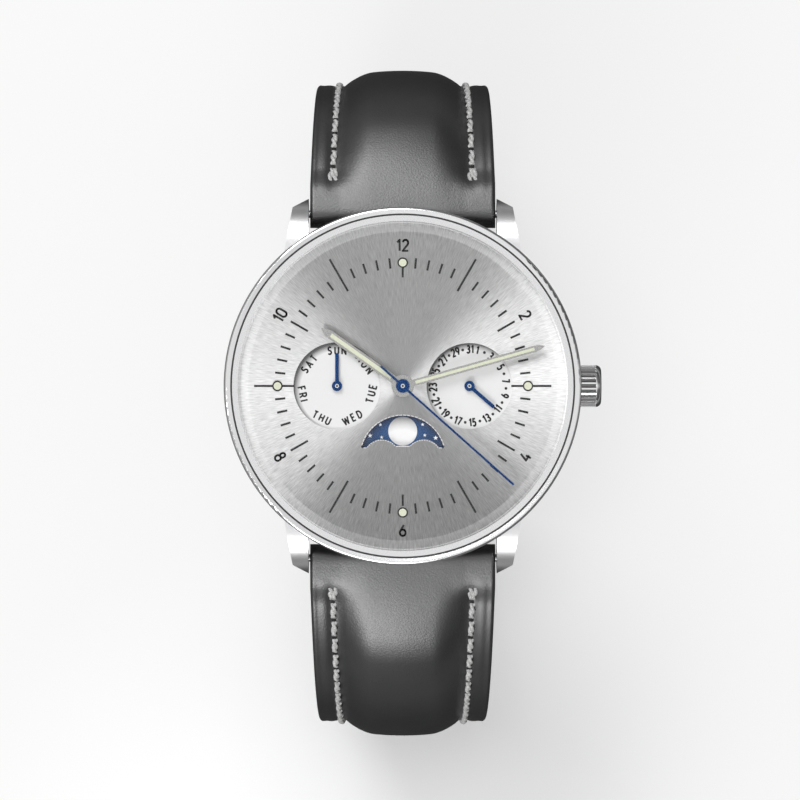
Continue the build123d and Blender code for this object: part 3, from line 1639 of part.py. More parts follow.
def make_buckle():
    outer_x = buckle_inner_x + buckle_arm
    front_z = floor_z + buckle_front_r
    with BuildPart() as buckle_frame:
        for side in (-1, 1):
            with BuildSketch(Plane.YZ.offset(side * buckle_inner_x)):
                with Locations((buckle_bar_y, strap_floor_z)):
                    Circle(buckle_hub_r)
                with Locations((buckle_front_y, front_z)):
                    Circle(buckle_front_r)
                make_hull()
            extrude(amount=side * buckle_arm)
        with BuildSketch(Plane.YZ.offset(-outer_x)):
            with Locations((buckle_front_y, front_z)):
                Circle(buckle_front_r)
        extrude(amount=2 * outer_x)
        for side in (-1, 1):
            with BuildSketch(Plane.YZ.offset(side * buckle_inner_x)):
                with Locations((buckle_bar_y, strap_floor_z)):
                    Circle(buckle_bar_r + buckle_fit)
            extrude(amount=side * (buckle_arm - buckle_bar_inset), mode=Mode.SUBTRACT)
        with BuildSketch(Plane.XY.offset(floor_z)):
            with Locations((0, buckle_front_y)):
                Rectangle(2 * (tongue_half + tongue_side_gap), 2 * (buckle_front_r + cut_over))
        extrude(amount=tongue_rest + tongue_thick + buckle_fit, mode=Mode.SUBTRACT)
    save(buckle_frame.part, "buckle_frame")
    bar_half = outer_x - buckle_bar_inset - buckle_fit
    with BuildPart() as buckle_bar:
        with BuildSketch(Plane.YZ.offset(-bar_half)):
            with Locations((buckle_bar_y, strap_floor_z)):
                Circle(buckle_bar_r)
        extrude(amount=2 * bar_half)
    save(buckle_bar.part, "buckle_bar")
    toe_z = floor_z + tongue_rest + tongue_thick / 2
    line = (
        (buckle_bar_y - tongue_hub_r, strap_floor_z - tongue_hub_r / 2),
        (buckle_bar_y - tongue_knee_y, strap_floor_z - tongue_knee_z),
        (buckle_bar_y - tongue_heel_y, strap_floor_z - tongue_heel_z),
        (buckle_bar_y - tongue_toe_y, toe_z + tongue_toe_rise),
        (buckle_front_y - tongue_over, toe_z),
    )
    with BuildPart() as buckle_tongue:
        with BuildSketch(Plane.YZ):
            for start, end in zip(line, line[1:]):
                run = sqrt((end[0] - start[0]) ** 2 + (end[1] - start[1]) ** 2)
                lean = degrees(atan2(end[1] - start[1], end[0] - start[0]))
                with Locations(((start[0] + end[0]) / 2, (start[1] + end[1]) / 2)):
                    Rectangle(run, tongue_thick, rotation=lean)
                with Locations(end):
                    Circle(tongue_thick / 2)
        extrude(amount=tongue_half, both=True)
        with BuildSketch(Plane.YZ):
            with Locations((buckle_bar_y, strap_floor_z)):
                Circle(tongue_hub_r)
        extrude(amount=tongue_hub_half, both=True)
        with BuildSketch(Plane.YZ):
            with Locations((buckle_bar_y, strap_floor_z)):
                Circle(buckle_bar_r + buckle_fit)
        extrude(amount=tongue_hub_half + cut_over, both=True, mode=Mode.SUBTRACT)
    save(buckle_tongue.part, "buckle_tongue")


def make_keepers():
    top_z = strap_floor_z + flange / 2 + keeper_top_gap + keeper_wall
    width = strap_end_width + 2 * keeper_side_gap + 2 * keeper_wall
    for name, middle_y in (("fixed_keeper", fixed_keeper_y), ("free_keeper", free_keeper_y)):
        with BuildPart() as keeper:
            with BuildSketch(Plane.XZ.offset(-middle_y)):
                with Locations((0, (top_z + floor_z) / 2)):
                    RectangleRounded(width, top_z - floor_z, keeper_round)
                    Rectangle(
                        width - 2 * keeper_wall,
                        top_z - floor_z - 2 * keeper_wall,
                        mode=Mode.SUBTRACT,
                    )
            extrude(amount=keeper_length / 2, both=True)
        save(keeper.part, name)


makers = (
    make_case_middle,
    make_bezel,
    make_crystal,
    make_crystal_gasket,
    make_case_back,
    make_case_back_gasket,
    make_case_back_screws,
    make_bar_tubes,
    make_bar_tips,
    make_crown,
    make_crown_gasket,
    make_crown_tube,
    make_winding_stem,
    make_sliding_pinion,
    make_setting_lever,
    make_dial,
    make_lume_dots,
    make_hour_hand,
    make_minute_hand,
    make_seconds_hand,
    make_small_hands,
    make_train,
    make_motion_work,
    make_stars,
    make_moon_disc,
    make_drive_wheels,
    make_jumpers,
    make_main_plate,
    make_movement_holder,
    make_train_bridge,
    make_power,
    make_motor,
    make_upper_strap,
    make_lower_strap,
    make_buckle,
    make_keepers,
)
for make in makers:
    make()
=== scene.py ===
import json
from math import atan2, copysign, cos, exp, pi, radians, sin, sqrt

import bmesh
import bpy
from mathutils import Matrix, Vector


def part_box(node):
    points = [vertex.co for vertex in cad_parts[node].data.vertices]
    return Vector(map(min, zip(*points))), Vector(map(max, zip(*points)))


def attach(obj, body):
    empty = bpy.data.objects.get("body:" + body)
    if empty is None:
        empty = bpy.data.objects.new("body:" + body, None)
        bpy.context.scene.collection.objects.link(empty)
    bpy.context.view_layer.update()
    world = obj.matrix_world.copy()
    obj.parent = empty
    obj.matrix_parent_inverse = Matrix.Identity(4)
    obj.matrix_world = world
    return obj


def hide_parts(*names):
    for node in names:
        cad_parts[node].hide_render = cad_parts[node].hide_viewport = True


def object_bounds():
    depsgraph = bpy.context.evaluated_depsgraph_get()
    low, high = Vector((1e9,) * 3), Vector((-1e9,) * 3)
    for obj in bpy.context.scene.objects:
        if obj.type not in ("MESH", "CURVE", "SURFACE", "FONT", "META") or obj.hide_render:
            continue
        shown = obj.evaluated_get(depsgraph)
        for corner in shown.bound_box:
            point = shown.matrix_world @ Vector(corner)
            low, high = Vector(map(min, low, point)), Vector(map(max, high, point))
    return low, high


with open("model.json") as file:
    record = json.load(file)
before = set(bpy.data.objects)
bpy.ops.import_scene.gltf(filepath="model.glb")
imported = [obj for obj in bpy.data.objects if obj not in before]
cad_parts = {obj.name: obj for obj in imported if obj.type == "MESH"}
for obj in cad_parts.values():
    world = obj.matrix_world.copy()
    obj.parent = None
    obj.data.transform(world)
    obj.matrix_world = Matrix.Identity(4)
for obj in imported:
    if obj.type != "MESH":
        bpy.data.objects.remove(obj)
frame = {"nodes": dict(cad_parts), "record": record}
cad_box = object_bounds()

# Sizes are in millimetres where a name says nothing else, and mm turns them into metres
mm = 0.001
full_turn = 2 * pi
half_turn = pi
quarter_turn = pi / 2
weld = 1e-6
crease_angle = radians(50)
round_steps = 32

# Case and dial, from the frame
face_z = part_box("dial")[1].z / mm
# Radius of the painted shadow ring where the dial meets the wall
edge_shadow_r = 17.4
floor_z = cad_box[0].z / mm
day_x = -6.9
date_x = 7.0
day_rim_r = 4.58
sunk_z = face_z - 0.25
moon_axis_y = -7.55
crown_z = 3.1
crown_r = 2.23
crown_edge_x = 20.58

# Printing on the dial, with each mark as its inner and outer radius
ink_height = 0.015
minute_mark = (12.4, 13.5)
minutes = 60
hours = 12
long_mark = (11.5, 15.4)
short_mark = (11.5, 13.6)
cardinal_mark = (11.4, 15.65)
upright_mark = (11.4, 12.6)
mark_width = 0.22
dot_ring_r = 0.55
dot_ring_wall = 0.16
dot_ring_rise = 0.1
dot_places = (12.97, 13.17, 13.3, 13.17)
hour_numerals = (
    ("12", 0, 14.8, 0),
    ("2", 60, 14.9, 60),
    ("4", 120, 14.9, -60),
    ("6", 180, 15.2, 0),
    ("8", 240, 14.9, 60),
    ("10", 300, 14.9, -60),
)
numeral_height = 1.17
numeral_pen = 0.22
numeral_space = 0.06
weekdays = ("SUN", "MON", "TUE", "WED", "THU", "FRI", "SAT")
weekday_r = 3.7
weekday_height = 0.75
weekday_pen = 0.17
weekday_space = 0.21
weekday_narrow = 0.95
weekday_low_span = (90, 270)
month_days = 31
date_turn = 0.9
date_r = 3.84
date_height = 0.76
date_pen = 0.175
date_space = 0.02
date_narrow = 0.78
date_low_span = (110, 260)
date_dot_r = 0.15
date_dot_steps = 16
# Width and steps of the painted shadow ring at the edge of the dial
edge_shadow_width = 0.13
edge_shadow_steps = 128
trim_pen = 0.1
trim_rise = 0.02

# Edge of the moon window, found on the dial's mesh
window_half = 5.2
window_low = -12.5
window_high = -2.5
window_slack = 0.01
window_clearance = 0.3
upright_normal = 0.5
dial_weld = 1e-7

# Caps of the hubs
cap_r = 0.21
cap_hole_r = 0.12
cap_rise = 0.03
pivot_steps = 24

# Moon disc
moon_r = 1.52
moon_orbit_r = 2.82
moon_steps = 64
star_places = ((-2.34, -4.06), (-3.43, -5.2), (-2.21, -5.38), (2.08, -4.03), (2.31, -5.16), (3.45, -5.44))
star_r = 0.2
outer_star_x = 3.0
outer_star_r = 0.27
star_waist_share = 0.4
star_points = 5
disc_print = 0.01

# Strap path
strap_bar_y = 18.4
strap_bar_z = 1.6
strap_start_turn = 10
upper_shoulder_r = 16.5
upper_side_r = 40.0
upper_side_turn = 20
lower_shoulder_r = 21.3
strap_floor_z = -41.3
tail_gap = 0.35
tail_bend_turn = 25
buckle_bar_y = -3.5

# Strap section
strap_lug_width = 19.8
strap_end_width = 15.9
taper_start = 3.0
taper_end = 66.0
flange = 2.1
tail_thick = 1.6
tail_thin_start = 30.0
lining_thick = 0.8
lining_start = 3.0
lining_inset = 0.03
least_leather = 0.02
pad_rise = 1.6
pad_least = 0.12
pad_rise_start = 0.5
pad_rise_end = 11.0
fold_fade = (2.2, 4.8)
fold_steps = 36
end_steps = 8
end_reach_share = 0.99
least_section_gap = 0.05
pad_fold_fade = (0.0, 8.0)
pad_fall_start = 26.0
pad_fall_end = 56.0
pad_foot = 3.2
pad_foot_fade = (2.2, 5.2)
pad_slope = 3.4
pad_crown_share = 0.38
seam_inset = 2.4
seam_dip = 0.22
seam_dip_width = 0.6
edge_round = 0.4
edge_bead = 0.05
edge_bead_inset = 0.75
edge_bead_width = 0.3
seam_fade = 2.4
roll_r = 1.5
buckle_roll_r = 1.15
bar_bore_r = 0.75
tongue_slot_half = 1.3
tongue_slot_room = 0.3
tongue_slot_depth = 6.0
hole_r = 0.95
hole_depth = 8.0
hole_step = 6.0
hole_count = 4
hole_slot_length = 3.6
hole_slot_start = -3.7
tip_length = 6.0
tip_width = 7.0
leather_top_steps = 72
leather_low_steps = 12

# Stitches
stitch_pitch = 2.15
stitch_length = 1.9
strand_r = 0.21
strand_orbit = 0.14
strand_turns = 1.0
stitch_lean = 0.06
upper_stitch_start = 2.9
upper_stitch_rest = 12.0
lower_stitch_start = 2.4
lower_stitch_rest = 8.0
stitch_arch = 0.42
stitch_hole_r = 0.36
stitch_hole_rise = 0.03
stitch_hole_share = 0.8
stitch_hole_steps = (12, 6)
stitch_steps = (8, 12)
end_stitch_spread = 0.21
end_stitch_turn = 8

# Keepers
keeper_wall = 1.2
keeper_corner = 1.1
keeper_edge = 0.35
keeper_around_steps = 24
keeper_along_steps = 64

# Brushing of the dial, as levels of its colour over spans of its noise or place, with a painted shade that
# darkens it towards the bottom and a painted shadow inside the upper left rim of each small dial
scratch_scale = 160.0
scratch_detail = 8.0
scratch_shortness = 6.0
scratch_span = (0.35, 0.65)
scratch_levels = (0.53, 0.71)
scratch_strength = 0.2
scratch_depth = 0.004
sunk_depths = (0.1, 0.14)
sunk_metallic = 0.25
haze_ring_r = 16.3
haze_edge = 0.05
haze_level = 0.03
# Painted shade: the dial's colour darkens towards the bottom
painted_low_shade_span = (-15.0, 0.0)
painted_low_shade_levels = (-0.16, 0.0)
# Painted shadow inside the upper left rim of each small dial: middles shifted right and down, and levels
# going from the small dials' own pale tone to the shadow
painted_rim_shadow_x = 0.3
painted_rim_shadow_y = -0.4
painted_rim_shadow_span = (4.15, 4.8)
painted_rim_shadow_levels = (0.7, 0.1)
brushed_drawn = 0.95
hazy_drawn = 0.8

# Other finishes
polish_scale = 900.0
polish_detail = 4.0
polish_strength = 0.05
polish_depth = 0.01
flute_depths = (0.05, 0.15)
flute_edge = 0.02
# Colour of the painted shade in the crown's flutes
flute_shade = 0.09
pore_smoothness = 0.6
pore_depth = 0.04
crease_scale = 420.0
crease_detail = 6.0
crease_levels = (0.75, 1.3)
drift_scale = 90.0
drift_detail = 3.0
drift_levels = (-0.05, 0.06)
mottle_detail = 5.0
mottle_strength = 0.2
mottle_depth = 0.02
middle_span = (0.3, 0.7)
wide_span = (0.25, 0.75)
full_span = (0.0, 1.0)
# Span over which the moon lacquer darkens outwards, a painted shade
lacquer_shade_span = (2.2, 4.8)
crystal_index = 1.45
coating_index = 1.5
coating_share = 0.25
seat_gap = 0.005

# Studio, its lamps in metres and watts and whether they show in polished steel
camera_height = 600.0
frame_width = 85.1
frame_middle = (-0.29, -1.49)
sensor = 36.0
background_grey = 0.905
floor_half = 2000.0
floor_drop = 0.02
floor_low_share = 0.05
floor_high_share = 0.645
floor_white = 0.25
floor_near_white = 0.8
floor_near_y = -75.0
floor_near_span = (62.0, 38.0)
floor_mirrored_span = (80.0, 250.0)
floor_mirrored_levels = (0.05, 0.3)
softboxes = (
    ("north_softbox", (-0.2, 0.5, 0.66), (0.42, 0.44), 3.4, True),
    ("south_softbox", (-0.17, -0.55, 0.6), (0.46, 0.38), 3.1, True),
    ("overhead_softbox", (-0.03, 0.12, 0.9), (0.22, 0.22), 1.1, False),
)
sky_levels = ((0.0, 0.2), (0.15, 0.24), (0.35, 0.38), (0.64, 0.48), (0.8, 0.55), (0.9, 0.85), (1.0, 0.85))
flag_span = (0.04, 0.2)
flag_levels = (1.0, 0.3)


def polar(radius, angle):
    """A point at a compass angle in degrees, clockwise from twelve."""
    return Vector((radius * sin(radians(angle)), radius * cos(radians(angle)), 0))


def smooth(value, start, end):
    """A smooth step from nought to one."""
    share = min(max((value - start) / (end - start), 0), 1)
    return share * share * (3 - 2 * share)


# Shader nodes


def put(target, value):
    """Gives an input a socket to follow, or a plain value."""
    if isinstance(value, bpy.types.NodeSocket):
        target.id_data.links.new(value, target)
    else:
        target.default_value = value


def set_inputs(node, **inputs):
    for name, value in inputs.items():
        put(node.inputs[name.replace("_", " ")], value)


def add_node(tree, kind, *inputs, **settings):
    """A shader node with its properties set, and its inputs given by order or by name."""
    made = tree.nodes.new("ShaderNode" + kind)
    for name in list(settings):
        if name in made.bl_rna.properties:
            setattr(made, name, settings.pop(name))
    for target, value in zip(made.inputs, inputs):
        put(target, value)
    set_inputs(made, **settings)
    return made


def own_place(tree):
    return add_node(tree, "TexCoord").outputs["Object"]


def split(tree, vector):
    return add_node(tree, "SeparateXYZ", vector).outputs


def joined(tree, **parts):
    return add_node(tree, "CombineXYZ", **parts).outputs["Vector"]


def reckon(tree, operation, *values):
    return add_node(tree, "Math", *values, operation=operation).outputs["Value"]


def distance(tree, vector, point=(0, 0, 0)):
    return add_node(tree, "VectorMath", vector, point, operation="DISTANCE").outputs["Value"]


def scaled(tree, vector, scale):
    return add_node(tree, "VectorMath", vector, Scale=scale, operation="SCALE").outputs["Vector"]


def blend(tree, factor, start, end):
    return add_node(tree, "Mix", Factor=factor, A=start, B=end).outputs["Result"]


def noise(tree, place, scale, detail):
    return add_node(tree, "TexNoise", Vector=place, Scale=scale, Detail=detail).outputs["Fac"]


def remap(tree, value, span, levels, unit=1):
    """A value moved from a span, in a unit, to levels, and held at their ends."""
    return add_node(tree, "MapRange", value, *(end * unit for end in span), *levels).outputs["Result"]


def fade(tree, value, start, end):
    """Goes from nought to one while a length in metres goes between two in millimetres."""
    return remap(tree, value, (start, end), full_span, mm)


def bump(tree, height, strength, depth):
    made = add_node(tree, "Bump", Height=height, Strength=strength, Distance=depth * mm)
    return made.outputs["Normal"]


def ramped(tree, value, stops):
    """Colour from a ramp of (place, colour) stops."""
    made = add_node(tree, "ValToRGB", value)
    elements = made.color_ramp.elements
    elements[0].position = stops[0][0]
    elements[1].position = stops[-1][0]
    for place, _ in stops[1:-1]:
        elements.new(place)
    for element, (_, colour) in zip(elements, stops):
        element.color = (*colour, 1)
    return made.outputs["Color"]


def group(name, inputs, outputs):
    """An empty shader node group, with its inputs' sockets and its output node."""
    kinds = {"Colour": "NodeSocketColor", "Normal": "NodeSocketVector"}
    made = bpy.data.node_groups.new(name, "ShaderNodeTree")
    for way, labels in (("INPUT", inputs), ("OUTPUT", outputs)):
        for label in labels:
            made.interface.new_socket(label, in_out=way, socket_type=kinds.get(label, "NodeSocketFloat"))
    return made, made.nodes.new("NodeGroupInput").outputs, made.nodes.new("NodeGroupOutput")


# Materials


def material(name, colour, roughness, metallic=0.0, **values):
    """A material with a Principled shader; returns it with its tree and shader."""
    made = bpy.data.materials.new(name)
    made.use_nodes = True
    tree = made.node_tree
    shader = tree.nodes["Principled BSDF"]
    set_inputs(shader, Base_Color=(*colour, 1), Roughness=roughness, Metallic=metallic, **values)
    return made, tree, shader


def make_polish_group():
    """Faint haze and hairlines of polished or brushed metal."""
    inputs, outputs = ("Scale", "Low", "High", "Depth"), ("Roughness", "Normal")
    tree, given, result = group("metal_polish", inputs, outputs)
    haze = noise(tree, own_place(tree), given["Scale"], polish_detail)
    roughness = remap(tree, haze, full_span, (given["Low"], given["High"]))
    set_inputs(result, Roughness=roughness, Normal=bump(tree, haze, given["Depth"], polish_depth))
    return tree


def make_leather_group():
    """Pores, creases and colour drift of calf leather."""
    inputs, outputs = ("Colour", "Pore Scale", "Depth", "Gloss"), ("Colour", "Roughness", "Normal")
    tree, given, result = group("calf_grain", inputs, outputs)
    place = own_place(tree)
    cells = {"Vector": place, "Scale": given["Pore Scale"], "Smoothness": pore_smoothness}
    pores = add_node(tree, "TexVoronoi", feature="SMOOTH_F1", **cells)
    creases = noise(tree, place, crease_scale, crease_detail)
    drift = remap(tree, noise(tree, place, drift_scale, drift_detail), middle_span, drift_levels)
    height = reckon(tree, "ADD", pores.outputs["Distance"], creases)
    set_inputs(
        result,
        Colour=scaled(tree, given["Colour"], remap(tree, creases, wide_span, crease_levels)),
        Roughness=reckon(tree, "ADD", given["Gloss"], drift),
        Normal=bump(tree, height, given["Depth"], pore_depth),
    )
    return tree


polish_group = make_polish_group()
leather_group = make_leather_group()


def metal(name, colour, low, high):
    """A metal whose roughness drifts between low and high."""
    made, tree, shader = material(name, colour, low, 1.0)
    given = {"Scale": polish_scale, "Low": low, "High": high, "Depth": polish_strength}
    polish = add_node(tree, "Group", node_tree=polish_group, **given).outputs
    set_inputs(shader, Roughness=polish["Roughness"], Normal=polish["Normal"])
    return made


def leather(name, colour, pore_scale, depth, gloss, **values):
    """A leather with pores of a scale and a depth."""
    made, tree, shader = material(name, colour, gloss, **values)
    given = {"Colour": (*colour, 1), "Pore_Scale": pore_scale, "Depth": depth, "Gloss": gloss}
    grain = add_node(tree, "Group", node_tree=leather_group, **given).outputs
    set_inputs(shader, Base_Color=grain["Colour"], Roughness=grain["Roughness"], Normal=grain["Normal"])
    return made


def speckled(name, colour, roughness, amount, scale):
    """A plain finish with a fine mottling of its colour and surface."""
    made, tree, shader = material(name, colour, roughness)
    mottle = noise(tree, own_place(tree), scale, mottle_detail)
    shade = remap(tree, mottle, middle_span, (1 - amount, 1 + amount))
    relief = bump(tree, mottle, mottle_strength, mottle_depth)
    set_inputs(shader, Base_Color=scaled(tree, colour, shade), Normal=relief)
    return made


def make_sunray_silver():
    """Silver with fine scratches that run out from the middle of the dial, a painted shade darker towards the
    bottom, and painted shadows inside the upper left rims of the small dials.
    """
    made, tree, shader = material("sunray_silver", (0.6, 0.6, 0.61), 0.47, 1.0)
    parts = split(tree, own_place(tree))
    level_place = joined(tree, X=parts["X"], Y=parts["Y"])
    away = distance(tree, level_place)
    around = reckon(tree, "ARCTAN2", parts["Y"], parts["X"])
    along = reckon(tree, "MULTIPLY", away, scratch_shortness)
    scratches = noise(tree, joined(tree, X=around, Y=along), scratch_scale, scratch_detail)
    sunk = fade(tree, parts["Z"], *(face_z - depth for depth in sunk_depths))
    hazy = fade(tree, away, haze_ring_r - haze_edge, haze_ring_r)
    scratched = remap(tree, scratches, scratch_span, scratch_levels)
    level = reckon(tree, "ADD", scratched, reckon(tree, "MULTIPLY", hazy, haze_level))
    # Painted shade that darkens the dial towards the bottom
    painted_low_shade = remap(tree, parts["Y"], painted_low_shade_span, painted_low_shade_levels, mm)
    # Painted shadow inside the upper left rim of each sunk small dial, which keeps its own pale tone
    # elsewhere
    shadow_middles = [((x + painted_rim_shadow_x) * mm, painted_rim_shadow_y * mm, 0) for x in (day_x, date_x)]
    reach = reckon(tree, "MINIMUM", *(distance(tree, level_place, middle) for middle in shadow_middles))
    shade = remap(tree, reach, painted_rim_shadow_span, painted_rim_shadow_levels, mm)
    set_inputs(
        shader,
        Base_Color=blend(tree, sunk, reckon(tree, "ADD", level, painted_low_shade), shade),
        Metallic=blend(tree, sunk, 1.0, sunk_metallic),
        Anisotropic=blend(tree, sunk, blend(tree, hazy, brushed_drawn, hazy_drawn), 0.0),
        Normal=bump(tree, scratches, scratch_strength, scratch_depth),
        Tangent=add_node(tree, "Tangent", direction_type="RADIAL", axis="Z").outputs["Tangent"],
    )
    return made


def make_fluted_steel():
    """Polished steel with painted shade in its flutes, for the crown."""
    steel = (0.86, 0.86, 0.87)
    made = metal("fluted_crown_steel", steel, 0.12, 0.18)
    tree = made.node_tree
    parts = split(tree, own_place(tree))
    away = distance(tree, joined(tree, Y=parts["Y"], Z=parts["Z"]), (0, 0, crown_z * mm))
    deep = fade(tree, away, *(crown_r - depth for depth in flute_depths))
    within = fade(tree, parts["X"], crown_edge_x + flute_edge, crown_edge_x)
    groove = reckon(tree, "MULTIPLY", deep, within)
    # Painted shade in the hollows of the flutes
    shaded = ramped(tree, groove, ((0.0, steel), (1.0, (flute_shade,) * 3)))
    set_inputs(tree.nodes["Principled BSDF"], Base_Color=shaded)
    return made


def make_crystal_glass():
    """Coated mineral glass that lets lamp light straight through to the dial."""
    made, tree, shader = material("crystal_glass", (1.0, 1.0, 1.0), 0.0)
    tree.nodes.remove(shader)
    path = add_node(tree, "LightPath").outputs
    indirect = reckon(tree, "MAXIMUM", path["Is Shadow Ray"], path["Is Diffuse Ray"])
    passed = reckon(tree, "MAXIMUM", indirect, path["Is Glossy Ray"])
    grazing = add_node(tree, "Fresnel", IOR=coating_index).outputs["Fac"]
    coated = reckon(tree, "MULTIPLY", grazing, coating_share)
    bent = add_node(tree, "BsdfRefraction", Roughness=0.0, IOR=crystal_index).outputs["BSDF"]
    mirror = add_node(tree, "BsdfGlossy", Roughness=0.0).outputs["BSDF"]
    glass = add_node(tree, "MixShader", coated, bent, mirror).outputs["Shader"]
    clear = add_node(tree, "BsdfTransparent").outputs["BSDF"]
    mixed = add_node(tree, "MixShader", passed, glass, clear).outputs["Shader"]
    set_inputs(tree.nodes["Material Output"], Surface=mixed)
    return made


def moon_paint(name, colour, roughness, span, scale, detail, drift, stops, **values):
    """Paint of the moon disc, whose ramp runs out from the disc's axis over a span; both ramps darken
    outwards as painted shade.
    """
    made, tree, shader = material(name, colour, roughness, **values)
    place = own_place(tree)
    away = distance(tree, place, (0, moon_axis_y * mm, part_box("moon_disc")[1].z))
    motes = remap(tree, noise(tree, place, scale, detail), full_span, (-drift, drift))
    share = reckon(tree, "ADD", fade(tree, away, *span), motes)
    set_inputs(shader, Base_Color=ramped(tree, share, stops))
    return made


# The blue is the lacquer's own colour; its darkening out towards the window's upper edge is painted shade
lacquer_shaded_stops = ((0.0, (0.008, 0.08, 0.24)), (0.6, (0.004, 0.042, 0.14)), (1.0, (0.002, 0.008, 0.03)))
# The moons grey out towards their outer edges as painted shade
moon_shaded_stops = ((0.1, (0.78, 0.78, 0.78)), (1.0, (0.26, 0.26, 0.27)))
moon_shade_span = (moon_orbit_r, moon_orbit_r + moon_r)
calf_gloss = {"Specular_IOR_Level": 1.0, "Coat_Weight": 1.0, "Coat_Roughness": 0.41}
finishes = {
    "polished_steel": metal("polished_case_steel", (0.86, 0.86, 0.87), 0.12, 0.18),
    "plain_steel": metal("plain_steel", (0.6, 0.61, 0.62), 0.25, 0.38),
    "crystal": make_crystal_glass(),
    "gasket": speckled("black_rubber", (0.02, 0.02, 0.02), 0.5, 0.3, 3000.0),
    "dial_silver": make_sunray_silver(),
    "glow": speckled("luminous_paint", (0.6, 0.62, 0.48), 0.6, 0.06, 5000.0),
    "hand_steel": metal("brushed_hand_steel", (0.46, 0.46, 0.45), 0.18, 0.3),
    "blued_steel": metal("blued_steel", (0.015, 0.06, 0.2), 0.2, 0.32),
    "moon_blue": moon_paint(
        "moon_lacquer", (0.01, 0.05, 0.15), 0.3, lacquer_shade_span, 900.0, 3.0, 0.06, lacquer_shaded_stops, Coat_Weight=0.3
    ),
    "brass": metal("gilt_brass", (0.72, 0.55, 0.25), 0.22, 0.35),
    "movement_plate": metal("nickel_plate", (0.62, 0.6, 0.54), 0.25, 0.4),
    "holder_plastic": speckled("moulded_ring", (0.78, 0.78, 0.76), 0.5, 0.05, 1200.0),
    "circuit": speckled("lacquered_board", (0.03, 0.16, 0.07), 0.3, 0.2, 2000.0),
    "copper": metal("enamelled_copper", (0.6, 0.24, 0.1), 0.2, 0.3),
    "magnet_iron": metal("soft_iron", (0.3, 0.3, 0.31), 0.4, 0.55),
    "black_leather": leather("black_calf", (0.006, 0.006, 0.0065), 5600.0, 0.38, 0.4, **calf_gloss),
    "strap_lining": leather("nubuck_lining", (0.03, 0.027, 0.025), 4200.0, 0.5, 0.8),
}
ink = speckled("black_dial_ink", (0.008, 0.008, 0.009), 0.5, 0.2, 4000.0)
moon_silver = moon_paint(
    "moon_silver_paint", (0.86, 0.86, 0.86), 0.4, moon_shade_span, 1500.0, 5.0, 0.04, moon_shaded_stops
)
# Painted shade: flat dark matte spots standing for the hollows of the stitch holes
painted_hole_shade = speckled("stitch_hole_shade", (0.004, 0.004, 0.004), 0.7, 0.3, 5000.0)
trim_steel = metal("bright_trim_steel", (0.88, 0.88, 0.89), 0.12, 0.2)
star_white = speckled("star_white_paint", (0.85, 0.87, 0.9), 0.5, 0.04, 4000.0)
thread_grey = speckled("waxed_grey_thread", (0.46, 0.46, 0.455), 0.6, 0.3, 6000.0)
node_finishes = {
    "crown": make_fluted_steel(),
    "case_middle": metal("satin_case_steel", (0.84, 0.84, 0.85), 0.26, 0.32),
}


def dress_nodes():
    """Every piece takes its own finish or its slot's, and the glass stands a hair off its seat."""
    gap = frame["nodes"]["crystal"].modifiers.new("seat_gap", "DISPLACE")
    gap.strength = -seat_gap * mm
    gap.mid_level = 0
    for part in frame["record"]["subparts"]:
        data = frame["nodes"][part["node"]].data
        data.materials.clear()
        data.materials.append(node_finishes.get(part["node"], finishes[part["material_slot"]]))


# Making pieces


def linked(name, data):
    made = bpy.data.objects.new(name, data)
    bpy.context.scene.collection.objects.link(made)
    return made


def new_object(name, mesh, finish=None, soft=False):
    """Turns a bmesh in millimetres into an object at the origin, with soft shading if asked."""
    data = bpy.data.meshes.new(name)
    bmesh.ops.scale(mesh, vec=(mm, mm, mm), verts=mesh.verts)
    if soft:
        for face in mesh.faces:
            face.smooth = True
        for edge in mesh.edges:
            edge.smooth = edge.calc_face_angle(0) < crease_angle
    mesh.to_mesh(data)
    mesh.free()
    if finish:
        data.materials.append(finish)
    return linked(name, data)


def new_piece(name, mesh, finish, body="root"):
    """Turns a bmesh in millimetres into a piece that rides on a body."""
    made = new_object(name, mesh, finish, soft=True)
    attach(made, body)
    return made


def skin(mesh, across, along, place):
    """Bends a grid over a shape: place(across share, along share) gives each point."""
    grid = bmesh.ops.create_grid(mesh, x_segments=across, y_segments=along, size=1)["verts"]
    for vert in grid:
        vert.co = place((vert.co.x + 1) / 2, (vert.co.y + 1) / 2)
    bmesh.ops.remove_doubles(mesh, verts=grid, dist=weld)
    return [vert for vert in grid if vert.is_valid]


def closed(mesh):
    """Fills open ends and turns every face outwards."""
    rims = [edge for edge in mesh.edges if edge.is_boundary]
    if rims:
        bmesh.ops.holes_fill(mesh, edges=rims, sides=0)
    bmesh.ops.recalc_face_normals(mesh, faces=mesh.faces)
    return mesh


def spun_ring(mesh, radii, heights, centre, steps):
    """Spins a rectangle between two radii and two heights about an upright axis."""
    corners = [(radii[side], heights[end]) for side, end in ((0, 0), (1, 0), (1, 1), (0, 1))]
    verts = [mesh.verts.new((centre[0] + radius, centre[1], height)) for radius, height in corners]
    edges = [mesh.edges.new(pair) for pair in zip(verts, verts[1:] + verts[:1])]
    upright = {"cent": (*centre, 0), "axis": (0, 0, 1), "angle": full_turn}
    bmesh.ops.spin(mesh, geom=verts + edges, **upright, steps=steps, use_merge=True)


def add_disc(mesh, place, radius, depth, steps, turn=Matrix(), top_r=None):
    """Adds a capped cylinder, or a cone if its top has a radius of its own."""
    shape = {"radius1": radius, "radius2": top_r or radius, "depth": depth, "segments": steps}
    place = Matrix.Translation(place) @ turn
    return bmesh.ops.create_cone(mesh, cap_ends=True, matrix=place, **shape)["verts"]


def add_block(mesh, place, size, turn=Matrix()):
    place = Matrix.Translation(place) @ turn @ Matrix.Diagonal((*size, 1))
    bmesh.ops.create_cube(mesh, size=1, matrix=place)


